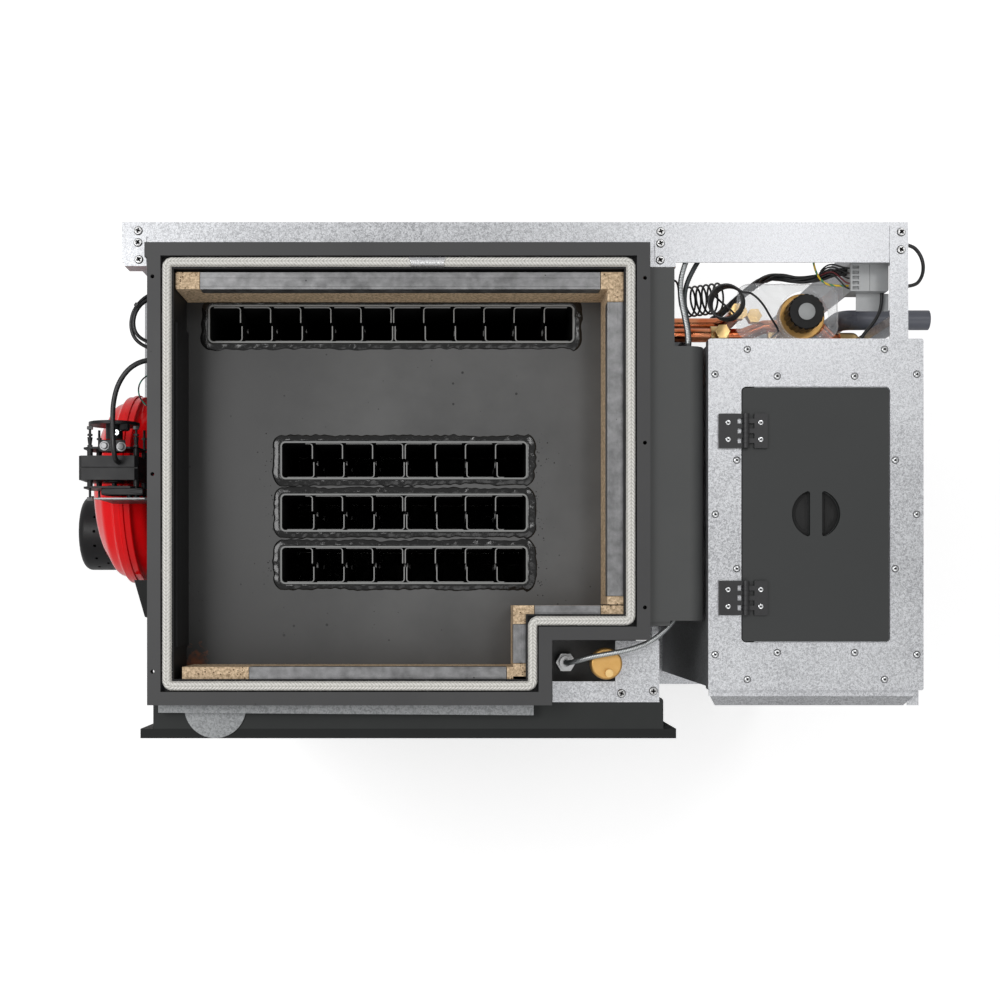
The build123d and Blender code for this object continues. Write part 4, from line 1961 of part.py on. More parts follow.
right_loop = [
    (side_rail_x[1], 318.0, 1136.0),
    (675.0, 318.0, 1136.0),
    (687.0, 332.0, 1133.0),
    (691.0, 351.0, 1129.0),
    (686.0, 370.0, 1127.0),
    (672.0, 384.0, 1127.0),
    (side_rail_x[1] - 3, 384.0, 1127.0),
]
with BuildPart() as cables:
    add(cord_tube("left loop outer", left_loop_outer, cable_radius))
    add(cord_tube("left loop inner", left_loop_inner, cable_radius))
    add(cord_tube("motor cable", motor_cable, motor_cable_radius))
    add(cord_tube("green wire", green_wire, wire_radius))
    add(cord_tube("harness", harness, harness_radius))
    add(cord_tube("earth wire", earth_wire, earth_radius))
    add(cord_tube("controller cable", controller_cable, cable_radius))
    add(cord_tube("right loop", right_loop, cable_radius))
cables.part.label = "cables"
export_step(cables.part, "parts/cables.step")

# Bag round the mixing valve: a soft collar between the ports and the knob, spread out over the relief fittings
bag_gap = 0.5
bag_z = (flow_z + 15 + bag_gap, relief_top_z + 17)
bag_spread_x = (415.0, 577.0)
bag_spread_y = (249.0, 338.0)
bag_thickness = 10.0
lead_slot_radius = 6.0
with BuildPart() as valve_bag:
    with BuildSketch(Plane.XY.offset(bag_z[0])):
        with Locations((valve_x + 4, pipe_plane_y + 8)):
            RectangleRounded(92, 90, 30)
    extrude(amount=bag_z[1] - bag_z[0])
    with BuildSketch(Plane.XY.offset(bag_z[1])):
        with Locations((middle(bag_spread_x), middle(bag_spread_y))):
            RectangleRounded(bag_spread_x[1] - bag_spread_x[0], bag_spread_y[1] - bag_spread_y[0], 20)
    extrude(amount=bag_thickness)
    fillet(valve_bag.edges().group_by(Axis.Z)[-1], 4)
    with Locations((*valve_place, bag_z[0])):
        Cylinder(valve_body_radius + bag_gap, 4 * knob_height, mode=Mode.SUBTRACT)
    with Locations((middle(clamp_x) - 2, 262.0, bag_z[1])):
        Cylinder(lead_slot_radius, 6 * bag_thickness, mode=Mode.SUBTRACT)
valve_bag.part.label = "valve_bag"
export_step(valve_bag.part, "parts/valve_bag.step")
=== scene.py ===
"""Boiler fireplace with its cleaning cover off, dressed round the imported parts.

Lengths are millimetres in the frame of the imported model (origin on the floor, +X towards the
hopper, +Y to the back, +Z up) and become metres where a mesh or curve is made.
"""

from __future__ import annotations

import logging
import math
from dataclasses import dataclass
from enum import Enum
from typing import Sequence

import bmesh
import bpy
import numpy as np
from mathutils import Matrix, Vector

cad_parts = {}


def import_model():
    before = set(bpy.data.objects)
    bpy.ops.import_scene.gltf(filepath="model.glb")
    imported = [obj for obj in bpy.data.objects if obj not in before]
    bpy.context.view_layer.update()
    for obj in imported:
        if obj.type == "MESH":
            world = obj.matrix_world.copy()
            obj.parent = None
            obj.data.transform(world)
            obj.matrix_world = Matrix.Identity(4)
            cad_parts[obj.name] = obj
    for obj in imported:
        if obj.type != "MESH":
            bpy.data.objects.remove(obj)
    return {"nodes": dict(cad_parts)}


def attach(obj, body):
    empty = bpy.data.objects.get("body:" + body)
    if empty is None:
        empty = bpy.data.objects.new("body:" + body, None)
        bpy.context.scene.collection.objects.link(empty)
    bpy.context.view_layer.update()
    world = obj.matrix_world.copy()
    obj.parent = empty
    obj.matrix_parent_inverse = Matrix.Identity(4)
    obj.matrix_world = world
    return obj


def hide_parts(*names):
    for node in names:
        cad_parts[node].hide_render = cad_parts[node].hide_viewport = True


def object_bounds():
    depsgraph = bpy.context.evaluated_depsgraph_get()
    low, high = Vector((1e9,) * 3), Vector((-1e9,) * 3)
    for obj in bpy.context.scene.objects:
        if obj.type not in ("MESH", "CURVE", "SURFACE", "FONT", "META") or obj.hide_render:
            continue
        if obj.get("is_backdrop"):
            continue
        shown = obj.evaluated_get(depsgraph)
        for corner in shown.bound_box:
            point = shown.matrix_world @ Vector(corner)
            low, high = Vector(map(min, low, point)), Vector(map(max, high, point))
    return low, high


LOG = logging.getLogger("boiler_fireplace")
MM = 0.001
SHARP_ANGLE = math.radians(38)
# Black that the tube plate's painted shade fades to.
WALL_SHADE_BLACK = (0.008, 0.008, 0.008)

Array = np.ndarray
Colour = tuple[float, float, float]
Point = tuple[float, float, float]

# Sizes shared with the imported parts
BOILER_X = (-490.5, 264.5)
BOILER_Y = (-320.0, 375.0)
NOTCH_CORNER = (117.0, -222.0)
PLATE_Z = 1065.0
COLLAR_Z = 1170.0
RAIL_Z = 1160.0
UPPER_SHEET_Z = 1162.0
CORNER_PLATE_Z = 1122.0
FRONT_SLOTS = [(-109.0, -106.8), (-109.0, -24.2), (-109.0, 58.4)]
FRONT_SLOT_LENGTH = 390.0
REAR_SLOT = (-129.0, 273.4)
REAR_SLOT_LENGTH = 577.0
SLOT_DEPTH = 60.0
SLOT_CORNER = 8.0


def unit(vectors: Array) -> Array:
    """Vectors divided by their lengths."""
    return vectors / np.linalg.norm(vectors, axis=-1, keepdims=True)


def ripple(places: Array, period: float, waves: int, seed: int) -> Array:
    """Smooth repeating noise: sines of 1 to `waves` periods with seeded heights and phases.

    Args:
        places: Distances along the piece.
        period: Distance after which the noise repeats.
        waves: How many sines are added.
        seed: Seed of the heights and phases.

    Returns:
        Noise between -1 and 1, shaped like `places`.
    """
    random = np.random.default_rng(seed)
    counts = np.arange(1, waves + 1)
    heights = random.normal(size=waves) / counts**0.35
    phases = random.uniform(0, 2 * np.pi, waves)
    total = (heights * np.sin(2 * np.pi * counts * places[..., None] / period + phases)).sum(-1)
    return total / np.abs(total).max()


def rounded_path(corners: Sequence[tuple[float, float]], radius: float, step: float) -> Array:
    """A closed outline with its corners rounded, at even steps.

    Each corner is an arc of `radius` that touches both sides at radius * tan(turn / 2).

    Args:
        corners: Corner points in order.
        radius: Radius of every corner.
        step: Wanted distance between points.

    Returns:
        N x 2 points.
    """
    here = np.asarray(corners, float)
    into, out = unit(here - np.roll(here, 1, 0)), unit(np.roll(here, -1, 0) - here)
    turn = np.arctan2(into[:, 0] * out[:, 1] - into[:, 1] * out[:, 0], (into * out).sum(1))
    start = here - into * (radius * np.tan(np.abs(turn) / 2))[:, None]
    left = np.stack([-into[:, 1], into[:, 0]], 1) * np.sign(turn)[:, None]
    centre = start + left * radius
    angle = turn[:, None] * np.linspace(0, 1, 13)
    spoke = (start - centre)[:, None]
    swung = np.stack(
        [
            spoke[..., 0] * np.cos(angle) - spoke[..., 1] * np.sin(angle),
            spoke[..., 0] * np.sin(angle) + spoke[..., 1] * np.cos(angle),
        ],
        -1,
    )
    return even_steps((centre[:, None] + swung).reshape(-1, 2), step, closed=True)


def even_steps(points: Array, step: float, closed: bool = False) -> Array:
    """Points at equal distances along a polyline.

    Args:
        points: N x D points of the polyline.
        step: Wanted distance between the new points.
        closed: Whether the polyline joins its own start.

    Returns:
        The new points.
    """
    line = np.concatenate([points, points[:1]]) if closed else points
    places = np.concatenate([[0.0], np.cumsum(np.linalg.norm(np.diff(line, axis=0), axis=1))])
    count = max(4, round(places[-1] / step))
    wanted = np.linspace(0, places[-1], count + 1)[: count if closed else count + 1]
    return np.stack([np.interp(wanted, places, line[:, k]) for k in range(line.shape[1])], 1)


@dataclass(frozen=True)
class Shape:
    """A mesh as whole arrays: points in millimetres and quads of point numbers."""

    points: Array
    quads: Array

    @staticmethod
    def grid(points: Array, wrap_rows: bool = False, wrap_columns: bool = False) -> Shape:
        """Quads between the neighbours of a grid of points.

        Args:
            points: Rows by columns by three coordinates.
            wrap_rows: Whether the last row joins the first.
            wrap_columns: Whether the last column joins the first.

        Returns:
            The shape, its points numbered row by row.
        """
        rows, columns = points.shape[:2]
        row, column = np.meshgrid(
            np.arange(rows - (not wrap_rows)), np.arange(columns - (not wrap_columns)), indexing="ij"
        )
        next_row, next_column = (row + 1) % rows, (column + 1) % columns
        corners = [
            row * columns + column,
            row * columns + next_column,
            next_row * columns + next_column,
            next_row * columns + column,
        ]
        return Shape(points.reshape(-1, 3), np.stack(corners, -1).reshape(-1, 4))

    @staticmethod
    def closed(rings: Array) -> Shape:
        """A body through rings of points, each end ring drawn in to its middle."""
        middles = np.repeat(rings.mean(1, keepdims=True), rings.shape[1], axis=1)
        return Shape.grid(np.concatenate([middles[:1], rings, middles[-1:]]), wrap_columns=True)

    @staticmethod
    def stacked(levels: Sequence[tuple[Array, float]]) -> Shape:
        """A body through flat outlines, each at its own height."""
        return Shape.closed(np.stack([np.column_stack([ring, np.full(len(ring), z)]) for ring, z in levels]))

    @staticmethod
    def turned(profile: Sequence[tuple[float, float]], sides: int = 24) -> Shape:
        """A profile of (radius, height) carried round Z: x = r cos a, y = r sin a."""
        return Shape.closed(Shape._rings(profile, sides))

    @staticmethod
    def ring(profile: Sequence[tuple[float, float]], sides: int = 24) -> Shape:
        """A closed profile of (radius, height) carried round Z."""
        return Shape.grid(Shape._rings(profile, sides), wrap_rows=True, wrap_columns=True)

    @staticmethod
    def _rings(profile: Sequence[tuple[float, float]], sides: int) -> Array:
        """One ring of points for each (radius, height) of a profile."""
        angle = np.linspace(0, 2 * np.pi, sides, endpoint=False)
        radius, height = np.asarray(profile, float).T[..., None]
        return np.stack([radius * np.cos(angle), radius * np.sin(angle), height + 0 * angle], -1)

    @staticmethod
    def slab(x: tuple[float, float], y: tuple[float, float], z: tuple[float, float],
             corner: float = 1.0, edge: float = 0.5) -> Shape:
        """A block with rounded upright corners and bevelled top and bottom edges.

        Args:
            x: Span along X.
            y: Span along Y.
            z: Span along Z.
            corner: Radius of the upright corners.
            edge: Size of the bevels.

        Returns:
            The shape: four rounded rectangles, the outer two drawn in by `edge`.
        """
        quarter = np.linspace(0, np.pi / 2, 5)
        angle = (quarter + np.arange(4)[:, None] * np.pi / 2).ravel()
        side = np.repeat([[1, 1], [-1, 1], [-1, -1], [1, -1]], 5, axis=0)
        half = np.array([x[1] - x[0], y[1] - y[0]]) / 2
        middle = np.array([sum(x), sum(y)]) / 2
        outline = middle + side * (half - corner) + corner * np.stack([np.cos(angle), np.sin(angle)], 1)
        inner = middle + (outline - middle) * (1 - edge / half)
        levels = [(inner, z[0]), (outline, z[0] + edge), (outline, z[1] - edge), (inner, z[1])]
        return Shape.stacked(levels)

    @staticmethod
    def tube(path: Array, radius: Array, reference: Point, closed: bool = False) -> Shape:
        """A ring at each point of a path, lying across the path's direction.

        Args:
            path: N x 3 points.
            radius: N x sides radii, one for each point of each ring.
            reference: A direction that the path is never parallel to, for the rings' zero angle.
            closed: Whether the path joins its own start.

        Returns:
            The shape.
        """
        ahead = np.roll(path, -1, 0) - np.roll(path, 1, 0) if closed else np.gradient(path, axis=0)
        ahead = unit(ahead)
        side = unit(np.cross(ahead, np.asarray(reference, float)))
        up = np.cross(side, ahead)
        angle = np.linspace(0, 2 * np.pi, radius.shape[1], endpoint=False)[:, None]
        spokes = np.cos(angle) * side[:, None] + np.sin(angle) * up[:, None]
        rings = path[:, None] + radius[..., None] * spokes
        return Shape.grid(rings, wrap_rows=True, wrap_columns=True) if closed else Shape.closed(rings)

    @staticmethod
    def joined(shapes: Sequence[Shape]) -> Shape:
        """Several shapes as one, with the later ones' point numbers moved up."""
        starts = np.cumsum([0] + [len(shape.points) for shape in shapes[:-1]])
        quads = [shape.quads + start for shape, start in zip(shapes, starts)]
        return Shape(np.concatenate([shape.points for shape in shapes]), np.concatenate(quads))

    def along(self, axis: str) -> Shape:
        """The shape with its Z axis laid along another axis, with its handedness kept."""
        order = {"X": [2, 0, 1], "Y": [1, 2, 0], "Z": [0, 1, 2]}[axis]
        return Shape(self.points[:, order], self.quads)

    def spun(self, angle: float) -> Shape:
        """The shape turned about Z by an angle in radians."""
        x, y, z = self.points.T
        turned = [x * math.cos(angle) - y * math.sin(angle), x * math.sin(angle) + y * math.cos(angle), z]
        return Shape(np.stack(turned, 1), self.quads)

    def placed(self, places: Sequence[Point] | Array, sizes: Array | float = 1.0) -> Shape:
        """A copy at each place, each grown by its own size.

        Args:
            places: M x 3 points.
            sizes: One factor for each copy.

        Returns:
            All copies as one shape.
        """
        moved = np.asarray(places, float)[:, None]
        factors = np.broadcast_to(np.asarray(sizes, float), (len(moved),))[:, None, None]
        points = (self.points * factors + moved).reshape(-1, 3)
        numbers = np.arange(len(moved))[:, None, None] * len(self.points)
        return Shape(points, (self.quads + numbers).reshape(-1, 4))


def piece(name: str, shape: Shape, finish: Finish, body: str, slot: str,
          depth: Array | None = None) -> bpy.types.Object:
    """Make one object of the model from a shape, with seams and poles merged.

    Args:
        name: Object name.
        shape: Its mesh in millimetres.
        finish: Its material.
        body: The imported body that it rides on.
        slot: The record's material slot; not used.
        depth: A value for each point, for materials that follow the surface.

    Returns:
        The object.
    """
    mesh = bpy.data.meshes.new(name)
    mesh.from_pydata((shape.points * MM).tolist(), [], shape.quads.tolist())
    if depth is not None:
        mesh.attributes.new("depth", "FLOAT", "POINT").data.foreach_set("value", depth.ravel())
    work = bmesh.new()
    work.from_mesh(mesh)
    bmesh.ops.remove_doubles(work, verts=work.verts, dist=2e-7)
    bmesh.ops.recalc_face_normals(work, faces=work.faces)
    work.to_mesh(mesh)
    work.free()
    mesh.polygons.foreach_set("use_smooth", np.ones(len(mesh.polygons), bool))
    mesh.set_sharp_from_angle(angle=SHARP_ANGLE)
    mesh.materials.append(finish.material())
    made = bpy.data.objects.new(name, mesh)
    bpy.context.scene.collection.objects.link(made)
    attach(made, body)
    LOG.info("%s: %d faces", name, len(mesh.polygons))
    return made


class NodeSheet:
    """Adds nodes to a tree and joins their sockets."""

    def __init__(self, tree: bpy.types.NodeTree) -> None:
        """Keep the tree."""
        self.tree = tree

    def add(self, kind: str, values: dict[str | int, object] | None = None,
            **options: object) -> bpy.types.Node:
        """Add a node and fill its sockets.

        Args:
            kind: Blender's name of the node type.
            values: For each input, a number, a colour or a socket that feeds it.
            options: The node's own settings.

        Returns:
            The node.
        """
        node = self.tree.nodes.new(kind)
        for key, value in options.items():
            setattr(node, key, value)
        for key, value in (values or {}).items():
            if isinstance(value, bpy.types.NodeSocket):
                self.tree.links.new(value, node.inputs[key])
            elif isinstance(value, tuple) and len(value) == 3 and len(node.inputs[key].default_value) == 4:
                node.inputs[key].default_value = (*value, 1.0)
            else:
                node.inputs[key].default_value = value
        return node

    def math(self, operation: str, first: object, second: object = 0.0) -> bpy.types.NodeSocket:
        """A sum, product or comparison of two values."""
        return self.add("ShaderNodeMath", {0: first, 1: second}, operation=operation).outputs[0]

    def mix(self, share: object, first: object, second: object) -> bpy.types.NodeSocket:
        """The first colour changed towards the second by a share."""
        values = {"Fac": share, "Color1": first, "Color2": second}
        return self.add("ShaderNodeMixRGB", values).outputs[0]

    def noise(self, place: object, scale: object, detail: float, roughness: float = 0.5,
              distortion: float = 0.0) -> bpy.types.NodeSocket:
        """Smooth noise between zero and one."""
        values = {"Vector": place, "Scale": scale, "Detail": detail, "Roughness": roughness,
                  "Distortion": distortion}
        return self.add("ShaderNodeTexNoise", values).outputs[0]

    def distance(self, place: object, middle: Point) -> bpy.types.NodeSocket:
        """Metres from a place to a point given in millimetres."""
        centre = tuple(value * MM for value in middle)
        return self.add("ShaderNodeVectorMath", {0: place, 1: centre}, operation="DISTANCE").outputs["Value"]

    def spread(self, value: object, middle: float, contrast: object) -> bpy.types.NodeSocket:
        """A value drawn away from its middle by a contrast, then held between zero and one."""
        drawn = self.math("MULTIPLY", self.math("SUBTRACT", value, middle), contrast)
        return self.add("ShaderNodeClamp", {"Value": self.math("ADD", drawn, 0.5)}).outputs[0]

    def ramp(self, value: object, low: float, high: float, start: float = 0.0,
             end: float = 1.0) -> bpy.types.NodeSocket:
        """A value carried from the span low to high onto the span start to end."""
        values = {"Value": value, "From Min": low, "From Max": high, "To Min": start, "To Max": end}
        return self.add("ShaderNodeMapRange", values).outputs[0]


class Effect(Enum):
    """Effects that several materials share, each a shader node group built once."""

    MOTTLE = "mottle"
    SPANGLE = "spangle"
    SPECKS = "specks"
    GRAIN = "grain"

    def tree(self) -> bpy.types.NodeTree:
        """The effect's node group, built when it is first asked for."""
        found = bpy.data.node_groups.get(self.value)
        if found:
            return found
        tree = bpy.data.node_groups.new(self.value, "ShaderNodeTree")
        names = {
            Effect.MOTTLE: ("Scale", "Contrast"),
            Effect.SPANGLE: ("Scale", "Contrast"),
            Effect.SPECKS: ("Scale", "Size", "Share"),
            Effect.GRAIN: ("Scale", "Stretch X", "Stretch Y", "Stretch Z"),
        }[self]
        for name in names:
            tree.interface.new_socket(name, in_out="INPUT", socket_type="NodeSocketFloat")
        tree.interface.new_socket("Mask", in_out="OUTPUT", socket_type="NodeSocketFloat")
        sheet = NodeSheet(tree)
        given = sheet.add("NodeGroupInput").outputs
        place = sheet.add("ShaderNodeTexCoord").outputs["Object"]
        build = {
            Effect.MOTTLE: self._mottle,
            Effect.SPANGLE: self._spangle,
            Effect.SPECKS: self._specks,
            Effect.GRAIN: self._grain,
        }[self]
        sheet.add("NodeGroupOutput", {"Mask": build(sheet, given, place)})
        return tree

    @staticmethod
    def _mottle(sheet: NodeSheet, given: object, place: object) -> bpy.types.NodeSocket:
        """Soft clouds: noise spread about its middle by the contrast."""
        return sheet.spread(sheet.noise(place, given["Scale"], 5.0, 0.6), 0.5, given["Contrast"])

    @staticmethod
    def _spangle(sheet: NodeSheet, given: object, place: object) -> bpy.types.NodeSocket:
        """Zinc crystals: small curled flecks from bent noise, over soft clouds."""
        flecks = sheet.ramp(sheet.noise(place, given["Scale"], 1.5, distortion=1.4), 0.36, 0.60)
        clouds = sheet.noise(place, 7.0, 3.0)
        both = sheet.math("ADD", sheet.math("MULTIPLY", flecks, 0.75), sheet.math("MULTIPLY", clouds, 0.5))
        return sheet.spread(both, 0.62, given["Contrast"])

    @staticmethod
    def _specks(sheet: NodeSheet, given: object, place: object) -> bpy.types.NodeSocket:
        """Small round dots in a share of the cells, of different sizes."""
        values = {"Vector": place, "Scale": given["Scale"], "Randomness": 1.0}
        cell = sheet.add("ShaderNodeTexVoronoi", values)
        random = sheet.add("ShaderNodeSeparateColor", {0: cell.outputs["Color"]}).outputs
        reach = sheet.math("MULTIPLY", given["Size"], sheet.math("ADD", random[1], 0.3))
        inside = sheet.math("LESS_THAN", cell.outputs["Distance"], reach)
        return sheet.math("MULTIPLY", inside, sheet.math("LESS_THAN", random[0], given["Share"]))

    @staticmethod
    def _grain(sheet: NodeSheet, given: object, place: object) -> bpy.types.NodeSocket:
        """Fine noise, drawn out along an axis where its stretch is below one."""
        shares = {k: given[f"Stretch {axis}"] for k, axis in enumerate("XYZ")}
        stretch = sheet.add("ShaderNodeCombineXYZ", shares).outputs[0]
        drawn = sheet.add("ShaderNodeVectorMath", {0: place, 1: stretch}, operation="MULTIPLY").outputs[0]
        return sheet.noise(drawn, given["Scale"], 3.0, 0.65)


class Pattern(Enum):
    """How a finish's two colours share the surface."""

    CLOUDS = "clouds"
    SPANGLE = "spangle"
    # GROOVE_SHADE: the attribute depth puts the first colour in the grooves, as painted shade.
    GROOVE_SHADE = "depth"
    BANDS = "bands"


@dataclass(frozen=True)
class Finish:
    """One material: two colours shared by a pattern, gloss, grain and specks."""

    name: str
    first: Colour
    second: Colour
    metallic: float = 0.0
    roughness: float = 0.45
    spread: float = 0.08
    scale: float = 25.0
    contrast: float = 1.6
    grain: float = 0.00003
    grain_scale: float = 1400.0
    stretch: Point = (1.0, 1.0, 1.0)
    speck: Colour | None = None
    speck_scale: float = 220.0
    speck_size: float = 0.25
    speck_share: float = 0.1
    specular: float = 0.5
    coat: float = 0.0
    alpha: float = 1.0
    transmission: float = 0.0
    pattern: Pattern = Pattern.CLOUDS
    edge: Colour | None = None
    stain: tuple[Point, float, Colour] | None = None
    # (middle, near, far) of painted shade: the colour darkens towards black away from the middle.
    soot_and_painted_shade: tuple[Point, float, float] | None = None

    def _share(self, sheet: NodeSheet) -> bpy.types.NodeSocket:
        """The mask by which the second colour covers the first."""
        if self.pattern is Pattern.GROOVE_SHADE:
            return sheet.add("ShaderNodeAttribute", attribute_name="depth").outputs["Fac"]
        if self.pattern is Pattern.BANDS:
            along = sheet.add("ShaderNodeAttribute", attribute_name="depth").outputs["Fac"]
            return sheet.math("GREATER_THAN", along, 0.5)
        effect = Effect.SPANGLE if self.pattern is Pattern.SPANGLE else Effect.MOTTLE
        group = sheet.add("ShaderNodeGroup", node_tree=effect.tree())
        group.inputs["Scale"].default_value = self.scale
        group.inputs["Contrast"].default_value = self.contrast
        return group.outputs[0]

    def _colour(self, sheet: NodeSheet, share: bpy.types.NodeSocket) -> bpy.types.NodeSocket:
        """The base colour: both colours by their share, then a lighter colour on faces that point up,
        painted shade away from a middle point, a stain and specks.
        """
        colour = sheet.mix(share, self.first, self.second)
        # Faces that point up take the edge colour.
        if self.edge:
            normal = sheet.add("ShaderNodeNewGeometry").outputs["Normal"]
            upward = sheet.add("ShaderNodeSeparateXYZ", {0: normal}).outputs[2]
            colour = sheet.mix(sheet.ramp(upward, 0.6, 0.95), colour, self.edge)
        place = sheet.add("ShaderNodeTexCoord").outputs["Object"]
        # Painted shade: darker away from a middle point, standing in for the shade that the walls cast.
        if self.soot_and_painted_shade:
            middle, near, far = self.soot_and_painted_shade
            away = sheet.distance(place, middle)
            colour = sheet.mix(sheet.ramp(away, near * MM, far * MM, 0.0, 0.9), colour, WALL_SHADE_BLACK)
        if self.stain:
            middle, reach, tint = self.stain
            blots = sheet.ramp(sheet.noise(place, 120.0, 6.0), 0.3, 0.7, 0.4, 1.9)
            uneven = sheet.math("MULTIPLY", sheet.distance(place, middle), blots)
            colour = sheet.mix(sheet.ramp(uneven, reach * MM, 0.3 * reach * MM, 0.0, 0.85), colour, tint)
        if self.speck:
            group = sheet.add("ShaderNodeGroup", node_tree=Effect.SPECKS.tree())
            sizes = {"Scale": self.speck_scale, "Size": self.speck_size, "Share": self.speck_share}
            for name, value in sizes.items():
                group.inputs[name].default_value = value
            colour = sheet.mix(group.outputs[0], colour, self.speck)
        return colour

    def material(self) -> bpy.types.Material:
        """The material, built when it is first asked for."""
        label = f"{self.name}_finish"
        found = bpy.data.materials.get(label)
        if found:
            return found
        made = bpy.data.materials.new(label)
        made.use_nodes = True
        sheet = NodeSheet(made.node_tree)
        shader = made.node_tree.nodes["Principled BSDF"]
        share = self._share(sheet)
        made.node_tree.links.new(self._colour(sheet, share), shader.inputs["Base Color"])
        plain = {
            "Metallic": self.metallic,
            "Specular IOR Level": self.specular,
            "Coat Weight": self.coat,
            "Alpha": self.alpha,
            "Transmission Weight": self.transmission,
            "Roughness": self.roughness,
        }
        for name, value in plain.items():
            shader.inputs[name].default_value = value
        if self.spread:
            low, high = self.roughness - self.spread, self.roughness + self.spread
            made.node_tree.links.new(sheet.ramp(share, 0.0, 1.0, low, high), shader.inputs["Roughness"])
        if self.grain:
            group = sheet.add("ShaderNodeGroup", node_tree=Effect.GRAIN.tree())
            group.inputs["Scale"].default_value = self.grain_scale
            for axis, value in zip("XYZ", self.stretch):
                group.inputs[f"Stretch {axis}"].default_value = value
            bump = sheet.add("ShaderNodeBump", {"Height": group.outputs[0], "Distance": self.grain})
            made.node_tree.links.new(bump.outputs[0], shader.inputs["Normal"])
        return made


CHAMBER_PAINT = Finish("chamber_paint", (0.034, 0.034, 0.035), (0.048, 0.048, 0.049), roughness=0.5,
                       scale=9.0, speck=(0.014, 0.014, 0.014), speck_scale=70.0, speck_share=0.14,
                       speck_size=0.12)
# Tube plate: a rust stain in the front left corner, and painted shade that darkens it towards the chamber
# walls.
PLATE_PAINT = Finish("tube_plate_paint", (0.062, 0.062, 0.062), (0.108, 0.108, 0.107), roughness=0.42,
                     scale=5.0, contrast=2.2, speck=(0.010, 0.010, 0.010), speck_scale=60.0,
                     speck_share=0.22, speck_size=0.11,
                     stain=((-438.0, -262.0, PLATE_Z), 20.0, (0.16, 0.045, 0.012)),
                     soot_and_painted_shade=((30.0, 40.0, PLATE_Z), 190.0, 560.0))
# Chamber walls: black soot, made darker still as painted shade inside the chamber.
SOOTY_SHADED_STEEL = Finish("soot_and_shade_steel", (0.005, 0.005, 0.0055), (0.012, 0.012, 0.013), roughness=0.55, scale=30.0,
                    speck=(0.08, 0.08, 0.08), speck_scale=120.0, speck_share=0.05, speck_size=0.10,
                    specular=0.3)
# The firebox's own soot; its name is shared with the tube plate's painted shade.
SOOT = Finish("soot_and_painted_shade", (0.003, 0.003, 0.003), (0.006, 0.006, 0.006), roughness=0.85, specular=0.1, grain=0.0)
TUBE_STEEL = Finish("flue_tube_steel", (0.003, 0.003, 0.003), (0.008, 0.008, 0.008), roughness=0.6,
                    edge=(0.26, 0.265, 0.26), specular=0.2)
STRIP_STEEL = Finish("turbulator_steel", (0.003, 0.003, 0.003), (0.009, 0.009, 0.009), roughness=0.6,
                     edge=(0.30, 0.30, 0.295), specular=0.2)
CASE_PAINT = Finish("casing_paint", (0.046, 0.048, 0.048), (0.060, 0.062, 0.061), roughness=0.5, scale=12.0,
                    grain=0.00006, grain_scale=900.0)
BOX_PAINT = Finish("box_paint", (0.018, 0.020, 0.0195), (0.026, 0.028, 0.0275), roughness=0.5, scale=12.0,
                   specular=0.25)
HATCH_PAINT = Finish("hatch_paint", (0.020, 0.022, 0.022), (0.026, 0.028, 0.028), roughness=0.48, scale=8.0)
FRONT_PAINT = Finish("front_paint", (0.008, 0.009, 0.009), (0.014, 0.015, 0.015), roughness=0.5, scale=8.0,
                     specular=0.2)
BASE_PAINT = Finish("base_paint", (0.014, 0.014, 0.015), (0.026, 0.026, 0.027), roughness=0.5, scale=20.0)
ZINC = Finish("galvanised_zinc", (0.34, 0.345, 0.36), (0.66, 0.67, 0.69), metallic=0.85, roughness=0.38,
              spread=0.06, scale=330.0, contrast=1.2, pattern=Pattern.SPANGLE, grain=0.00002,
              grain_scale=500.0)
# The front trim's zinc: a darker copy of the galvanised zinc, as painted shade.
SHADED_TRIM_ZINC = Finish("shaded_trim_zinc", (0.17, 0.175, 0.18), (0.33, 0.34, 0.345), metallic=0.85, roughness=0.42,
                   spread=0.06, scale=210.0, contrast=1.0, pattern=Pattern.SPANGLE, grain_scale=500.0)
ZINC_BRIGHT = Finish("bright_zinc", (0.62, 0.63, 0.64), (0.80, 0.81, 0.82), metallic=1.0, roughness=0.26,
                     scale=90.0)
CLIP_STEEL = Finish("clip_steel", (0.13, 0.13, 0.132), (0.34, 0.34, 0.345), metallic=0.8, roughness=0.36,
                    scale=60.0, grain=0.0001, grain_scale=700.0, stretch=(0.04, 1.0, 1.0),
                    speck=(0.02, 0.02, 0.02), speck_share=0.05, speck_scale=130.0, speck_size=0.14)
BRIGHT_STEEL = Finish("bright_steel", (0.42, 0.42, 0.42), (0.58, 0.58, 0.58), metallic=1.0, roughness=0.32,
                      scale=60.0)
# Black that stands for shade in hollows, pockets, seams and round screw heads: painted shade.
PAINTED_SHADE_BLACK = Finish("painted_shade_black", (0.004, 0.004, 0.004), (0.009, 0.009, 0.009), roughness=0.7)
BOARD = Finish("vermiculite", (0.30, 0.21, 0.125), (0.84, 0.64, 0.43), roughness=0.85, scale=230.0,
               contrast=3.0, grain=0.0006, grain_scale=320.0, speck=(0.14, 0.09, 0.05), speck_scale=300.0,
               speck_share=0.22, speck_size=0.34, specular=0.2)
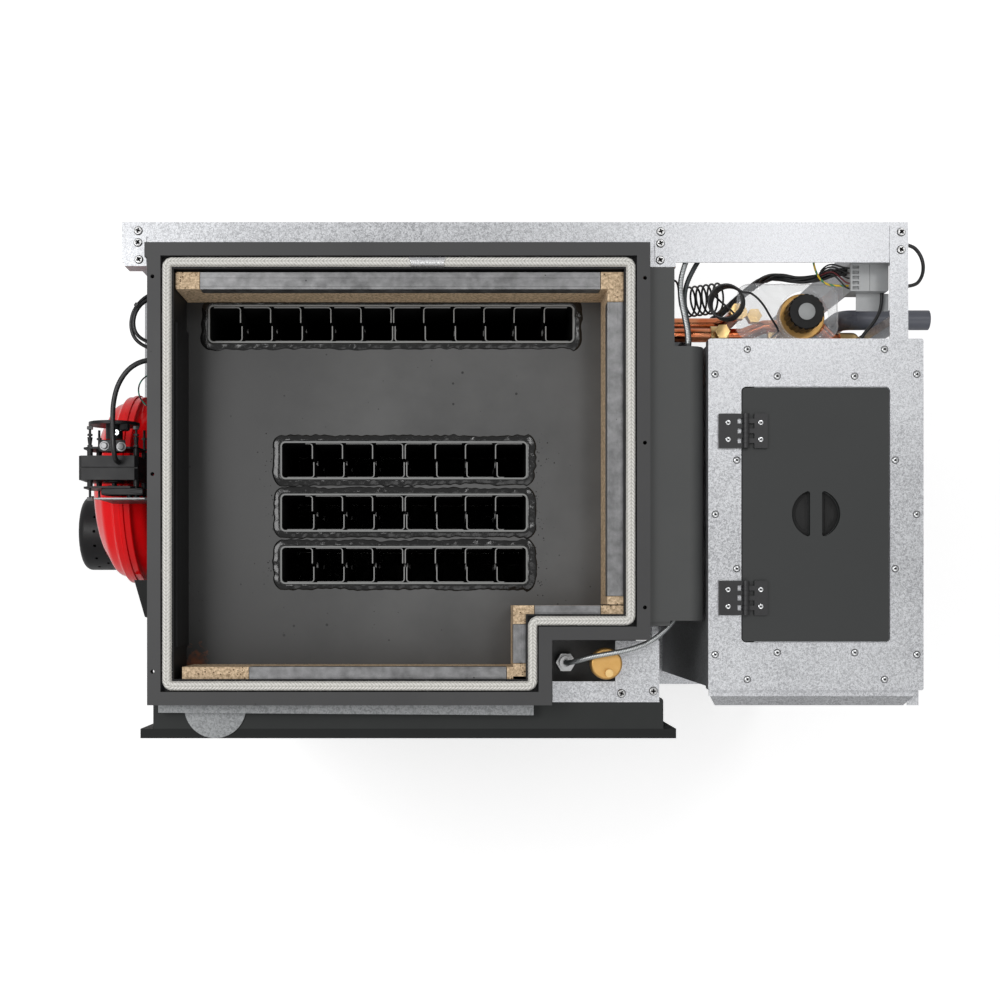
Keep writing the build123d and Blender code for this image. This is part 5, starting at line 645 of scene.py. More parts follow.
# Rope: the first colour lies in the grooves between stitches as painted shade.
ROPE = Finish("rope_fibre", (0.18, 0.172, 0.15), (0.86, 0.845, 0.80), roughness=0.9, spread=0.0,
              pattern=Pattern.GROOVE_SHADE, grain=0.0002, grain_scale=1500.0)
FIBRE = Finish("frayed_fibre", (0.66, 0.65, 0.61), (0.84, 0.83, 0.80), roughness=0.8, grain=0.0)
FOIL = Finish("foil_tape", (0.66, 0.66, 0.67), (0.90, 0.90, 0.90), metallic=1.0, roughness=0.28,
              scale=300.0)
SEALANT = Finish("black_sealant", (0.003, 0.003, 0.003), (0.008, 0.008, 0.008), roughness=0.17, spread=0.06,
                 scale=70.0, grain=0.0004, grain_scale=160.0)
RED_ENAMEL = Finish("red_enamel", (0.92, 0.002, 0.004), (0.98, 0.003, 0.007), roughness=0.12, spread=0.03,
                    specular=0.28, grain=0.0)
MOTOR_BLACK = Finish("motor_black", (0.008, 0.008, 0.009), (0.015, 0.015, 0.016), roughness=0.42,
                     scale=40.0, specular=0.3)
BLACK_PLASTIC = Finish("black_plastic", (0.014, 0.014, 0.015), (0.022, 0.022, 0.024), roughness=0.42,
                       scale=60.0, grain=0.00005)
COPPER = Finish("copper_tube", (0.72, 0.15, 0.045), (0.95, 0.42, 0.22), metallic=1.0, roughness=0.2,
                spread=0.1, scale=28.0, contrast=2.6, grain=0.0)
BRASS = Finish("brass", (0.74, 0.50, 0.20), (0.86, 0.62, 0.30), metallic=1.0, roughness=0.34, scale=60.0)
VENT_BRASS = Finish("vent_brass", (0.60, 0.34, 0.10), (0.70, 0.43, 0.16), metallic=0.85, roughness=0.45,
                    scale=80.0)
PUMP_PAINT = Finish("pump_paint", (0.10, 0.11, 0.12), (0.14, 0.15, 0.16), roughness=0.5, scale=30.0)
DRAIN_PLASTIC = Finish("drain_plastic", (0.098, 0.104, 0.128), (0.118, 0.125, 0.150), roughness=0.3,
                       scale=30.0, grain=0.0)
CONTROL_PLASTIC = Finish("control_plastic", (0.40, 0.41, 0.42), (0.52, 0.53, 0.53), roughness=0.45,
                         scale=40.0)
BLACK_RUBBER = Finish("cable_rubber", (0.009, 0.009, 0.010), (0.018, 0.018, 0.019), roughness=0.36,
                      scale=120.0, grain=0.0)
# Armour: the first colour lies between the ribs as painted shade.
ARMOUR = Finish("armour", (0.10, 0.115, 0.12), (0.62, 0.64, 0.64), metallic=0.9, roughness=0.35, spread=0.0,
                pattern=Pattern.GROOVE_SHADE, grain=0.0)
# A darker copy of the armour for the low conduit: painted shade.
SHADED_ARMOUR = Finish("shaded_armour", (0.014, 0.017, 0.018), (0.085, 0.095, 0.098), metallic=0.6,
                     roughness=0.45, spread=0.0, pattern=Pattern.GROOVE_SHADE, grain=0.0)
RED_WIRE = Finish("red_wire", (0.12, 0.012, 0.016), (0.17, 0.018, 0.022), roughness=0.4, spread=0.0,
                  grain=0.0)
GREEN_STRIPE = Finish("green_stripe", (0.010, 0.012, 0.011), (0.010, 0.20, 0.13), roughness=0.4, spread=0.0,
                      pattern=Pattern.BANDS, grain=0.0)
EARTH_STRIPE = Finish("earth_stripe", (0.78, 0.52, 0.02), (0.03, 0.26, 0.12), roughness=0.4, spread=0.0,
                      pattern=Pattern.BANDS, grain=0.0)
FILM = Finish("clear_film", (0.62, 0.64, 0.66), (0.84, 0.86, 0.88), roughness=0.10, spread=0.05, alpha=0.22,
              scale=60.0, specular=1.0, grain=0.004, grain_scale=60.0)
STOVE_GLASS = Finish("stove_glass", (0.55, 0.55, 0.53), (0.62, 0.62, 0.60), roughness=0.05, spread=0.0,
                     transmission=1.0, grain=0.0)

GLOSS_BLACK = Finish("gloss_black", (0.004, 0.004, 0.004), (0.007, 0.007, 0.007), roughness=0.3,
                     spread=0.04, scale=60.0, specular=0.12, grain=0.0)
PALE_DISC = Finish("pale_disc", (0.34, 0.35, 0.35), (0.42, 0.43, 0.43), roughness=0.5, scale=50.0,
                   grain=0.0)

CAD_FINISHES: dict[Finish, tuple[str, ...]] = {
    CHAMBER_PAINT: ("cover_flange",),
    SOOTY_SHADED_STEEL: ("chamber_walls", "left_wall_panel"),
    BOARD: ("lining_boards",),
    CLIP_STEEL: ("board_clips",),
    PLATE_PAINT: ("tube_plate",),
    TUBE_STEEL: ("flue_tubes",),
    STRIP_STEEL: ("turbulators",),
    SOOT: ("firebox_shell", "firebox_lining", "brazier"),
    CASE_PAINT: ("boiler_jacket", "auger_casing", "smoke_box"),
    BOX_PAINT: ("front_box",),
    FRONT_PAINT: ("front_frame", "door_frame", "door_hinges", "ash_drawer", "vessel_bracket"),
    STOVE_GLASS: ("door_glass",),
    BRIGHT_STEEL: (
        "door_handle", "levelling_feet", "frame_screws", "auger_tube", "auger_screw", "fan_impeller",
        "thermowell",
    ),
    SHADED_TRIM_ZINC: ("front_trim",),
    BASE_PAINT: ("base_frame",),
    ZINC: ("frame_posts", "top_rails", "hopper_collar", "hopper_body", "fan_housing", "corner_plates"),
    HATCH_PAINT: ("hopper_hatch",),
    BLACK_PLASTIC: ("hinge_bases", "hinge_flaps"),
    MOTOR_BLACK: ("auger_motor", "fan_guard", "motor_core", "motor_brackets", "motor_rotor"),
    RED_ENAMEL: ("expansion_vessel",),
    VENT_BRASS: ("air_vent", "mixing_valve"),
    BRASS: ("air_vent_cap", "brass_fittings"),
    COPPER: ("copper_pipes",),
    GLOSS_BLACK: ("valve_knob",),
    PUMP_PAINT: ("circulation_pump",),
    DRAIN_PLASTIC: ("drain_pipe",),
    CONTROL_PLASTIC: ("control_box",),
}


@dataclass
class Studio:
    """Pale floor, soft lamps and the camera of the photograph."""

    camera_place: Point = (-28.5, -162.0, 3380.0)
    lens: float = 52.8
    shift: tuple[float, float] = (0.045, 0.10)
    floor_half: float = 9000.0
    world_strength: float = 0.50

    def build(self) -> None:
        """Make the floor, the world, the lamps and the camera."""
        self._floor()
        self._world()
        self._lamp("key_lamp", (-1900.0, 500.0, 4300.0), 1500.0, 44.0)
        self._lamp("fill_lamp", (900.0, -1500.0, 4300.0), 2000.0, 18.0)
        self._lamp("rail_lamp", (1290.0, 1300.0, 4700.0), 700.0, 15.0)
        data = bpy.data.cameras.new("photo_camera")
        data.lens = self.lens
        data.shift_x, data.shift_y = self.shift
        camera = bpy.data.objects.new("photo_camera", data)
        camera.location = [value * MM for value in self.camera_place]
        bpy.context.scene.collection.objects.link(camera)
        bpy.context.scene.camera = camera
        bpy.context.scene.view_settings.view_transform = "Standard"

    @staticmethod
    def _seen(sheet: NodeSheet) -> bpy.types.NodeSocket:
        """One for rays that show the background: from the camera and through glass."""
        path = sheet.add("ShaderNodeLightPath").outputs
        return sheet.math("MAXIMUM", path["Is Camera Ray"], path["Is Transmission Ray"])

    def _floor(self) -> None:
        """A wide pale floor that keeps the object's shadow."""
        half = self.floor_half * MM
        mesh = bpy.data.meshes.new("floor")
        corners = [(-half, -half, 0), (half, -half, 0), (half, half, 0), (-half, half, 0)]
        mesh.from_pydata(corners, [], [(0, 1, 2, 3)])
        floor = bpy.data.objects.new("floor", mesh)
        bpy.context.scene.collection.objects.link(floor)
        made = bpy.data.materials.new("pale_floor")
        made.use_nodes = True
        sheet = NodeSheet(made.node_tree)
        sheet.tree.nodes.clear()
        matt = sheet.add("ShaderNodeBsdfDiffuse", {"Color": (0.86, 0.86, 0.86)}).outputs[0]
        glow = sheet.add("ShaderNodeEmission", {"Color": (1.0, 1.0, 1.0), "Strength": sheet.math(
            "MULTIPLY", self._seen(sheet), 0.50)}).outputs[0]
        both = sheet.add("ShaderNodeAddShader", {0: matt, 1: glow}).outputs[0]
        sheet.add("ShaderNodeOutputMaterial", {"Surface": both})
        mesh.materials.append(made)
        floor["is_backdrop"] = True

    def _world(self) -> None:
        """An even pale sky: white where it is seen, softer where it lights."""
        world = bpy.data.worlds.new("studio")
        world.use_nodes = True
        sheet = NodeSheet(world.node_tree)
        sheet.tree.nodes.clear()
        strength = sheet.ramp(self._seen(sheet), 0.0, 1.0, self.world_strength, 1.0)
        sky = sheet.add("ShaderNodeBackground", {"Color": (1.0, 1.0, 1.0), "Strength": strength}).outputs[0]
        sheet.add("ShaderNodeOutputWorld", {"Surface": sky})
        bpy.context.scene.world = world

    @staticmethod
    def _lamp(name: str, place: Point, size: float, power: float) -> None:
        """One square soft lamp that looks at the middle of the object.

        Args:
            name: Lamp name.
            place: Where it hangs.
            size: Side of the square.
            power: Its power in watts.
        """
        data = bpy.data.lights.new(name, "AREA")
        data.size = size * MM
        data.energy = power
        lamp = bpy.data.objects.new(name, data)
        lamp.location = [value * MM for value in place]
        back = np.array(place) - (0.0, 0.0, 900.0)
        yaw = math.atan2(back[1], back[0])
        lean = math.acos(back[2] / np.linalg.norm(back))
        lamp.rotation_euler = (0.0, lean, yaw)
        bpy.context.scene.collection.objects.link(lamp)


@dataclass
class Chamber:
    """The cleaning chamber: rope gasket, foil joint, sealant round the tubes."""

    rope_inset: float = 28.8
    rope_corner: float = 8.3
    rope_radius: float = 7.25
    rope_z: float = 1175.05
    stitch: float = 5.2
    columns: int = 6
    tape_x: tuple[float, float] = (-97.0, -43.0)
    bead_width: float = 9.6
    bead_height: float = 2.6

    def build(self) -> None:
        """Make every piece of the chamber."""
        self._rope()
        self._tape()
        self._beads()
        self._spatter()

    def _rope_path(self, step: float) -> Array:
        """The rope's middle line: the flange's L-shaped outline, moved in and rounded."""
        inset = self.rope_inset
        left, right = BOILER_X[0] + inset, BOILER_X[1] - inset
        front, back = BOILER_Y[0] + inset, BOILER_Y[1] - inset
        notch_x, notch_y = NOTCH_CORNER[0] - inset, NOTCH_CORNER[1] + inset
        corners = [(left, front), (notch_x, front), (notch_x, notch_y), (right, notch_y), (right, back),
                   (left, back)]
        flat = rounded_path(corners, self.rope_corner, step)
        return np.column_stack([flat, np.full(len(flat), self.rope_z)])

    def _rope(self) -> None:
        """The braided rope: columns of slanted stitches, V beside V, round a wandering tube.

        The radius is R * (0.87 + 0.13 * sqrt(|sin|) of the stitch phase), where the phase slants
        one way in even columns and the other way in odd ones, and falls off between columns.
        """
        path = self._rope_path(1.45)
        count, sides = len(path), self.columns * 6
        along = np.arange(count)[:, None] * 1.45
        length = count * 1.45
        round_way = np.arange(sides)[None] / sides * self.columns + 0.5
        column = np.floor(round_way)
        across = round_way - column - 0.5
        slant = np.where(column % 2 == 0, 1.0, -1.0) * across * 2.6
        stitches = round(length / self.stitch)
        phase = np.pi * (along / length * stitches + slant / 2)
        lobe = np.abs(np.sin(phase)) ** 0.6 * (1 - (2 * np.abs(across)) ** 4 * 0.6)
        uneven = 0.035 * ripple(along + 37 * round_way, length, 160, 3)
        radius = self.rope_radius * (0.87 + 0.13 * lobe + uneven)
        wander = ripple(along[:, 0], length, 60, 5)[:, None] * np.array([[0.0, 0.0, 0.25]])
        shape = Shape.tube(path + wander, radius, (0.0, 0.0, 1.0), closed=True)
        # The stitches' height picks the colour: darker in the grooves, as painted shade.
        rope = piece("rope_braid", shape, ROPE, "boiler", "rope_fibre", depth=np.clip(lobe, 0, 1) ** 0.8)
        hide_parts("rope_gasket")
        self._fray(path)

    def _fray(self, path: Array) -> None:
        """Loose fibres: thin pointed hairs that leave the rope's upper half outwards."""
        random = np.random.default_rng(11)
        count = 2600
        start = random.integers(0, len(path), count)
        ahead = unit(np.roll(path, -1, 0) - path)[start]
        side = np.cross(ahead, (0.0, 0.0, 1.0))
        angle = random.uniform(-0.15 * np.pi, 1.15 * np.pi, count)[:, None]
        outward = np.cos(angle) * side + np.sin(angle) * np.array([[0.0, 0.0, 1.0]])
        reach = random.exponential(0.75, count).clip(0.3, 2.6)[:, None]
        lean = ahead * random.uniform(-1.6, 1.6, count)[:, None]
        base = path[start] + outward * self.rope_radius * 0.93
        tip = base + (outward + lean) * reach
        cross = unit(np.cross(outward, ahead))
        thick = 0.16
        spokes = np.stack([cross, -0.5 * cross + 0.87 * ahead, -0.5 * cross - 0.87 * ahead], 1) * thick
        foot, point = np.repeat(base[:, None], 3, 1), np.repeat(tip[:, None], 3, 1)
        rings = np.stack([foot, base[:, None] + spokes, point], 1)
        hair = Shape.grid(np.zeros((3, 3, 3)), wrap_columns=True)
        numbers = np.arange(count)[:, None, None] * 9
        shape = Shape(rings.reshape(-1, 3), (hair.quads + numbers).reshape(-1, 4))
        piece("rope_fray", shape, FIBRE, "boiler", "rope_fibre")

    def _tape(self) -> None:
        """Crumpled foil over the rope's joint: a bent sheet over the upper side of the rope."""
        along = np.linspace(*self.tape_x, 64)[:, None]
        angle = np.linspace(-0.62 * np.pi, 0.62 * np.pi, 34)[None] + 0 * along
        edge = 2.2 * ripple(angle[0] * 3, 40.0, 5, 8)
        along = along + edge * ((along - np.mean(self.tape_x)) / 27.0)
        crumple = 0.55 * ripple(along * 1.3 + 9 * angle, 61.0, 26, 21)
        crumple = crumple + 0.4 * ripple(along - 14 * angle, 47.0, 17, 4)
        radius = self.rope_radius + 0.75 + 0.6 * np.abs(crumple)
        y = BOILER_Y[1] - self.rope_inset + radius * np.sin(angle)
        z = self.rope_z + radius * np.cos(angle)
        sheet = Shape.grid(np.stack([along + 0 * angle, y, z], -1))
        foil = piece("joint_foil", sheet, FOIL, "boiler", "steel")
        wall = foil.modifiers.new("wall", "SOLIDIFY")
        wall.thickness = 0.2 * MM

    def _bead(self, place: tuple[float, float], length: float, seed: int) -> Shape:
        """One bead round a slot: a half-round section with an uneven outer edge.

        Args:
            place: Middle of the slot.
            length: Length of the slot.
            seed: Seed of the unevenness.

        Returns:
            The bead as a closed ring.
        """
        half_x, half_y = length / 2, SLOT_DEPTH / 2
        corners = [(-half_x, -half_y), (half_x, -half_y), (half_x, half_y), (-half_x, half_y)]
        outline = rounded_path(corners, SLOT_CORNER, 1.8)
        ahead = unit(np.roll(outline, -1, 0) - np.roll(outline, 1, 0))
        outward = np.stack([ahead[:, 1], -ahead[:, 0]], 1)
        along = np.arange(len(outline)) * 1.8
        total = len(outline) * 1.8
        waves = 0.24 * ripple(along, total, 70, seed) + 0.16 * ripple(along, total, 12, seed + 1)
        wide = self.bead_width * (1 + waves)
        high = self.bead_height * (1 + 0.38 * ripple(along, total, 52, seed + 2))
        ends = np.abs(outline[:, 0]) > half_x - 6
        wide = wide + np.where(ends, np.where(outline[:, 0] > 0, 4.2, 1.4), 0.0)
        section = [(0.03, -0.2), (0.02, 0.78), (0.14, 1.0), (0.34, 0.96), (0.55, 0.72), (0.76, 0.66),
                   (0.92, 0.35), (1.0, 0.02), (0.9, -0.2)]
        out, up = np.array(section).T
        reach = wide[:, None] * out
        flat = outline[:, None] + outward[:, None] * reach[..., None]
        height = PLATE_Z + high[:, None] * up
        upper = (out > 0.2) * (out < 0.95)
        height = height + 0.45 * ripple(along[:, None] + 9 * out, total, 130, seed + 3) * upper
        rings = np.concatenate([flat + place, height[..., None]], -1)
        return Shape.grid(rings, wrap_rows=True, wrap_columns=True)

    def _beads(self) -> None:
        """Sealant beads round the four slots."""
        beads = [self._bead(place, FRONT_SLOT_LENGTH, 30 + 7 * k) for k, place in enumerate(FRONT_SLOTS)]
        beads.append(self._bead(REAR_SLOT, REAR_SLOT_LENGTH, 71))
        piece("sealant_beads", Shape.joined(beads), SEALANT, "boiler", "cable_rubber")

    def _spatter(self) -> None:
        """Dried drops of sealant: flat domes scattered round the ends of the slots."""
        random = np.random.default_rng(5)
        dome = Shape.turned([(1.0, 0.0), (0.92, 0.16), (0.6, 0.32), (0.25, 0.38)], 8)
        spots, sizes = [], []
        for x, y in FRONT_SLOTS:
            for side, number in ((1, 26), (-1, 13)):
                out = random.exponential(9.0, number) + FRONT_SLOT_LENGTH / 2 + 11
                spots.append(np.column_stack([x + side * out, y + random.normal(0, 24, number)]))
                sizes.append(random.uniform(0.35, 1.15, number))
        middle = random.uniform((-440, -250), (180, 210), (90, 2))
        clear = (np.abs(middle[:, 0] + 109) > 212) | (middle[:, 1] > 105) | (middle[:, 1] < -152)
        spots.append(middle[clear])
        sizes.append(random.uniform(0.25, 0.7, int(clear.sum())))
        flat = np.concatenate(spots)
        keep = (flat[:, 0] > -445) & (flat[:, 0] < 195)
        places = np.column_stack([flat, np.full(len(flat), PLATE_Z)])[keep]
        shape = dome.placed(places, np.concatenate(sizes)[keep])
        piece("sealant_drops", shape, SEALANT, "boiler", "cable_rubber")


@dataclass
class Fasteners:
    """Rivets of the hopper collar, screws of its hinges and of the rails, and the hatch's pull."""

    hopper: tuple[float, float] = (515.4, -33.0)
    hinge_axis_x: float = 408.75
    hinge_levels: tuple[float, float] = (92.4, -159.0)
    hinge_screw_offset: float = 12.7
    rail_screws: tuple[tuple[float, tuple[tuple[float, float], ...]], ...] = (
        (RAIL_Z, ((-507.9, 396.8), (283.0, 395.6))),
        (UPPER_SHEET_Z, ((-507.9, 378.6), (-506.4, 352.9), (282.3, 377.3), (281.8, 352.0), (646.4, 394.5),
                         (646.0, 367.6))),
        (CORNER_PLATE_Z, ((227.7, -305.8), (276.8, -302.2))),
    )

    def build(self) -> None:
        """Make every fastener."""
        self._rivets()
        self._hinge_screws()
        self._rail_screws()
        self._pull()

    def _rivets(self) -> None:
        """Blind rivets: a dished ring, black painted shade in the hollow that holds the broken stem, and
        painted shadow round the head.
        """
        x, y = self.hopper
        offsets = [(103.4, 248.7), (152.0, 211.2), (58.3, 208.3), (119.4, 81.8)]
        places = [(x + i * dx, y + j * dy, COLLAR_Z) for dx, dy in offsets for i in (-1, 1) for j in (-1, 1)]
        places += [(x + side * 151.6, y, COLLAR_Z) for side in (-1, 1)]
        profile = [(4.85, 0.0), (4.85, 0.5), (4.3, 1.25), (3.2, 1.85), (2.1, 2.0), (1.75, 1.7), (1.65, 0.4)]
        head = Shape.turned(profile, 24)
        heads = piece("rivet_heads", head.placed(places), ZINC_BRIGHT, "boiler", "steel")
        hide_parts("hopper_rivets")
        stem = Shape.turned([(1.64, 0.4), (1.6, 0.62), (0.9, 0.8)], 12)
        piece("rivet_hollow_shade", stem.placed(places), PAINTED_SHADE_BLACK, "boiler", "steel")
        rim = Shape.turned([(5.6, 0.0), (5.6, 0.12), (4.9, 0.12)], 24)
        piece("rivet_shadow_rims", rim.placed(places), PAINTED_SHADE_BLACK, "boiler", "steel")

    def _hinge_screws(self) -> None:
        """Countersunk screws in the leaves of the hatch hinges, their hexagonal sockets painted black as
        shade.
        """
        head = Shape.turned([(3.9, 0.0), (3.9, 0.7), (3.5, 1.0), (1.9, 1.0), (1.7, 0.8), (1.7, 0.2)], 24)
        socket = Shape.turned([(1.68, 0.2), (1.6, 0.26)], 6)
        for name, offset, body in (("base", -26.3, "boiler"), ("flap", 22.9, "hatch")):
            places = [(self.hinge_axis_x + offset, level + side * self.hinge_screw_offset, COLLAR_Z + 3.85)
                      for level in self.hinge_levels for side in (-1, 1)]
            piece(f"hinge_{name}_screws", head.placed(places), ZINC_BRIGHT, body, "steel")
            piece(f"hinge_{name}_sockets", socket.placed(places), PAINTED_SHADE_BLACK, body, "steel")

    def _rail_screws(self) -> None:
        """What the screws of the rails show: painted shade in the seam round the head and in the cross
        recess.
        """
        rim = Shape.turned([(6.7, 0.0), (6.7, 0.2), (5.9, 0.2)], 24)
        bar = Shape.slab((-3.9, 3.9), (-1.3, 1.3), (3.02, 3.12), 0.5, 0.03)
        places = [(*place, level) for level, spots in self.rail_screws for place in spots]
        piece("rail_screw_seams", rim.placed(places), PAINTED_SHADE_BLACK, "boiler", "steel")
        turns = np.random.default_rng(17).uniform(0, math.pi / 2, len(places))
        crosses = [Shape.joined([bar.spun(turn), bar.spun(turn + math.pi / 2)]).placed([place])
                   for turn, place in zip(turns, places)]
        piece("rail_screw_recesses", Shape.joined(crosses), PAINTED_SHADE_BLACK, "boiler", "steel")

    def _pull(self) -> None:
        """The hatch's pull: painted shade on the floors of its two pockets, each with a raised inner step.
        """
        x, y = self.hopper[0], self.hopper[1] + 0.8
        shapes = []
        for reach, corner, low, high in ((35.6, 3.0, 0.0, 0.5), (29.5, 3.0, 0.4, 1.6)):
            bar = 9.6 + (36.2 - reach) * 0.8
            end = math.acos(bar / reach)
            angle = np.linspace(-end, end, 40)
            outline = np.stack([reach * np.cos(angle), reach * np.sin(angle)], 1)
            rings = [(outline * 0.985 + (0.2, 0.0), low), (outline, low + 0.1), (outline, high - 0.25),
                     (outline * 0.98 + (0.3, 0.0), high)]
            half = Shape.stacked(rings)
            shapes.append(half)
            shapes.append(half.spun(math.pi))
        pull = Shape.joined(shapes).placed([(x, y, COLLAR_Z - 10.0)])
        piece("pull_pockets", pull, PAINTED_SHADE_BLACK, "hatch", "black_paint")


@dataclass
class MotorParts:
    """What shows on the drive motor: bearing bracket, bolts, nuts, a strip, the disc's weight and screw."""

    middle_x: float = -572.0
    top_z: float = 1076.0
    axis_z: float = 1040.0

    def build(self) -> None:
        """Make every part."""
        x, z, stud_z = self.middle_x, self.top_z, self.top_z - 6
        studs = (x - 31.4, x + 41.5)
        dark, light = [], []
        dark.append(Shape.slab((x - 16, x + 26), (71.0, 89.5), (z, z + 2.5), 3.0, 0.6))
        dark.append(Shape.slab((x - 13, x + 53), (3.0, 14.0), (z - 34, z - 1), 2.0, 1.0))
        bolt = Shape.turned([(7.4, 0.0), (7.4, 1.2), (5.2, 1.4), (5.2, 4.6), (4.2, 5.4)], 20)
        light.append(bolt.placed([(x - 6.5, 80.0, z + 2.5), (x + 20.0, 78.5, z + 2.5)]))
        nut = Shape.turned([(4.6, -2.6), (5.0, -2.0), (5.0, 2.0), (4.6, 2.6)], 6).along("Y")
        light.append(nut.placed([(stud_x, y, stud_z) for stud_x in studs for y in (-2.6, 109.0)]))
        cone = Shape.turned([(2.9, 0.0), (4.9, 15.0), (4.9, 16.2)], 16).along("Y")
        dark.append(cone.placed([(stud_x, 80.5, stud_z) for stud_x in studs], 0.85))
        weight = Shape.turned([(6.2, 105.0), (8.0, 106.5), (8.0, 115.2)], 8).along("Y")
        piece("motor_fittings", Shape.joined(dark), MOTOR_BLACK, "boiler", "black_paint")
        piece("motor_bolts", Shape.joined(light), CLIP_STEEL, "boiler", "steel")
        weight = weight.placed([(x + 22.0, 0.0, self.axis_z + 24.0)])
        piece("disc_weight", weight, MOTOR_BLACK, "motor_rotor", "black_paint")
        screw = Shape.turned([(4.2, 0.0), (4.2, 1.6), (2.0, 1.6), (1.8, 0.8)], 16)
        screw = screw.placed([(x + 6.0, 104.0, self.axis_z + 11.4)])
        piece("hub_screw", screw, ZINC_BRIGHT, "motor_rotor", "steel")
        strip = Shape.slab((x - 24, x + 56), (-4.0, -1.2), (z - 1.0, z + 0.4), 0.5, 0.2)
        piece("motor_strip", strip, CLIP_STEEL, "boiler", "steel")


class Build(Enum):
    """How a cord is made round its route."""

    ROUND = "round"
    ARMOURED = "armoured"
    STRIPED = "striped"
    BUNDLED = "bundled"


@dataclass(frozen=True)
class Cord:
    """A cord of the object: its route, size and make."""

    name: str
    route: tuple[Point, ...]
    radius: float
    length: float
    node: str
    finish: Finish
    build: Build = Build.ROUND
    stiffness: str = "medium"
    slot: str = "cable_rubber"
    reference: Point = (0.0, 0.0, 1.0)

    def _curve(self) -> bpy.types.Curve:
        """One open NURBS spline of order three with the route as its control points."""
        data = bpy.data.curves.new(self.name, "CURVE")
        data.dimensions = "3D"
        data.resolution_u = 16
        spline = data.splines.new("NURBS")
        spline.points.add(len(self.route) - 1)
        weighted = np.column_stack([np.asarray(self.route) * MM, np.ones(len(self.route))])
        spline.points.foreach_set("co", weighted.ravel())
        spline.order_u = 3
        spline.use_endpoint_u = True
        return data

    def line(self) -> Array:
        """Points on the spline, in millimetres, read from the curve with no bevel."""
        data = self._curve()
        carrier = bpy.data.objects.new(self.name + "_line", data)
        bpy.context.scene.collection.objects.link(carrier)
        bpy.context.view_layer.update()
        mesh = bpy.data.meshes.new_from_object(carrier.evaluated_get(bpy.context.evaluated_depsgraph_get()))
        points = np.empty(len(mesh.vertices) * 3)
        mesh.vertices.foreach_get("co", points)
        bpy.data.objects.remove(carrier)
        bpy.data.meshes.remove(mesh)
        bpy.data.curves.remove(data)
        return points.reshape(-1, 3) / MM

    def _strands(self, path: Array) -> Shape:
        """A bundle: six round wires that wind slowly about the route and a seventh along it."""
        wire = self.radius / 3.05
        ahead = unit(np.gradient(path, axis=0))
        side = unit(np.cross(ahead, self.reference))
        up = np.cross(side, ahead)
        along = np.concatenate([[0], np.cumsum(np.linalg.norm(np.diff(path, axis=0), axis=1))])
        radius = np.full((len(path), 10), wire)
        tubes = [Shape.tube(path, radius, self.reference)]
        for k in range(6):
            angle = (k / 6 + along / 190.0 + 0.06 * ripple(along, 260.0, 5, k)) * 2 * np.pi
            spoke = np.cos(angle)[:, None] * side + np.sin(angle)[:, None] * up
            tubes.append(Shape.tube(path + spoke * wire * 2.0, radius, self.reference))
        return Shape.joined(tubes)

    def make(self, body: str) -> bpy.types.Object:
        """Args:
            body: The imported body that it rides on.

        Returns:
            The cord's object.
        """
        line = self.line()
        measured = np.linalg.norm(np.diff(line, axis=0), axis=1).sum()
        LOG.info("%s: spline %.1f mm", self.name, measured)
        if self.build is Build.ROUND:
            data = self._curve()
            data.bevel_depth = self.radius * MM
            data.bevel_resolution = 3
            data.use_fill_caps = True
            data.materials.append(self.finish.material())
            made = bpy.data.objects.new(self.name, data)
            bpy.context.scene.collection.objects.link(made)
            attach(made, body)
        else:
            steps = {Build.ARMOURED: 0.42, Build.STRIPED: 1.0, Build.BUNDLED: 4.0}
            path = even_steps(line, steps[self.build])
            along = np.linspace(0, measured, len(path))[:, None]
            sides = 14
            turn = np.arange(sides)[None] / sides
            depth = None
            if self.build is Build.ARMOURED:
                rib = np.abs(np.sin(np.pi * (along / 2.5 + turn)))
                shape = Shape.tube(path, self.radius * (0.9 + 0.1 * np.sqrt(rib)), self.reference)
                # The ribs' height picks the colour: darker in the grooves, as painted shade.
                depth = self._capped(np.clip(rib**0.7, 0, 1))
            elif self.build is Build.STRIPED:
                stripe = ((along / 17.0 + turn) % 1.0 < 0.4).astype(float)
                shape = Shape.tube(path, np.full((len(path), sides), self.radius), self.reference)
                depth = self._capped(stripe)
            else:
                shape = self._strands(path)
            made = piece(self.name, shape, self.finish, body, self.slot, depth)
        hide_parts(self.node)
        start = tuple(value * MM for value in self.route[0])
        return made

    @staticmethod
    def _capped(values: Array) -> Array:
        """Values for a closed tube: those of the rings, with the end rings' repeated for the caps."""
        return np.concatenate([values[:1], values, values[-1:]])


def helix(centre: Point, side: Point, up: Point, radius: float, pitch: float, start: float, turned: float,
          steps: int) -> list[Point]:
    """Points of a helix: centre + side * r cos a + up * r sin a + axis * pitch * turns.

    Args:
        centre: Middle of the first turn.
        side: Direction of angle zero.
        up: Direction of a right angle.
        radius: Radius r.
        pitch: Way along the axis, side x up, in one turn.
        start: First angle in degrees.
        turned: Angle turned in degrees.
        steps: Number of steps.

    Returns:
        The points in order.
    """
    share = np.linspace(0, turned, steps + 1)[:, None]
    angle = np.radians(start + share)
    axis = np.cross(side, up)
    points = centre + radius * (np.cos(angle) * side + np.sin(angle) * up) + axis * pitch * share / 360
    return [tuple(point) for point in points]


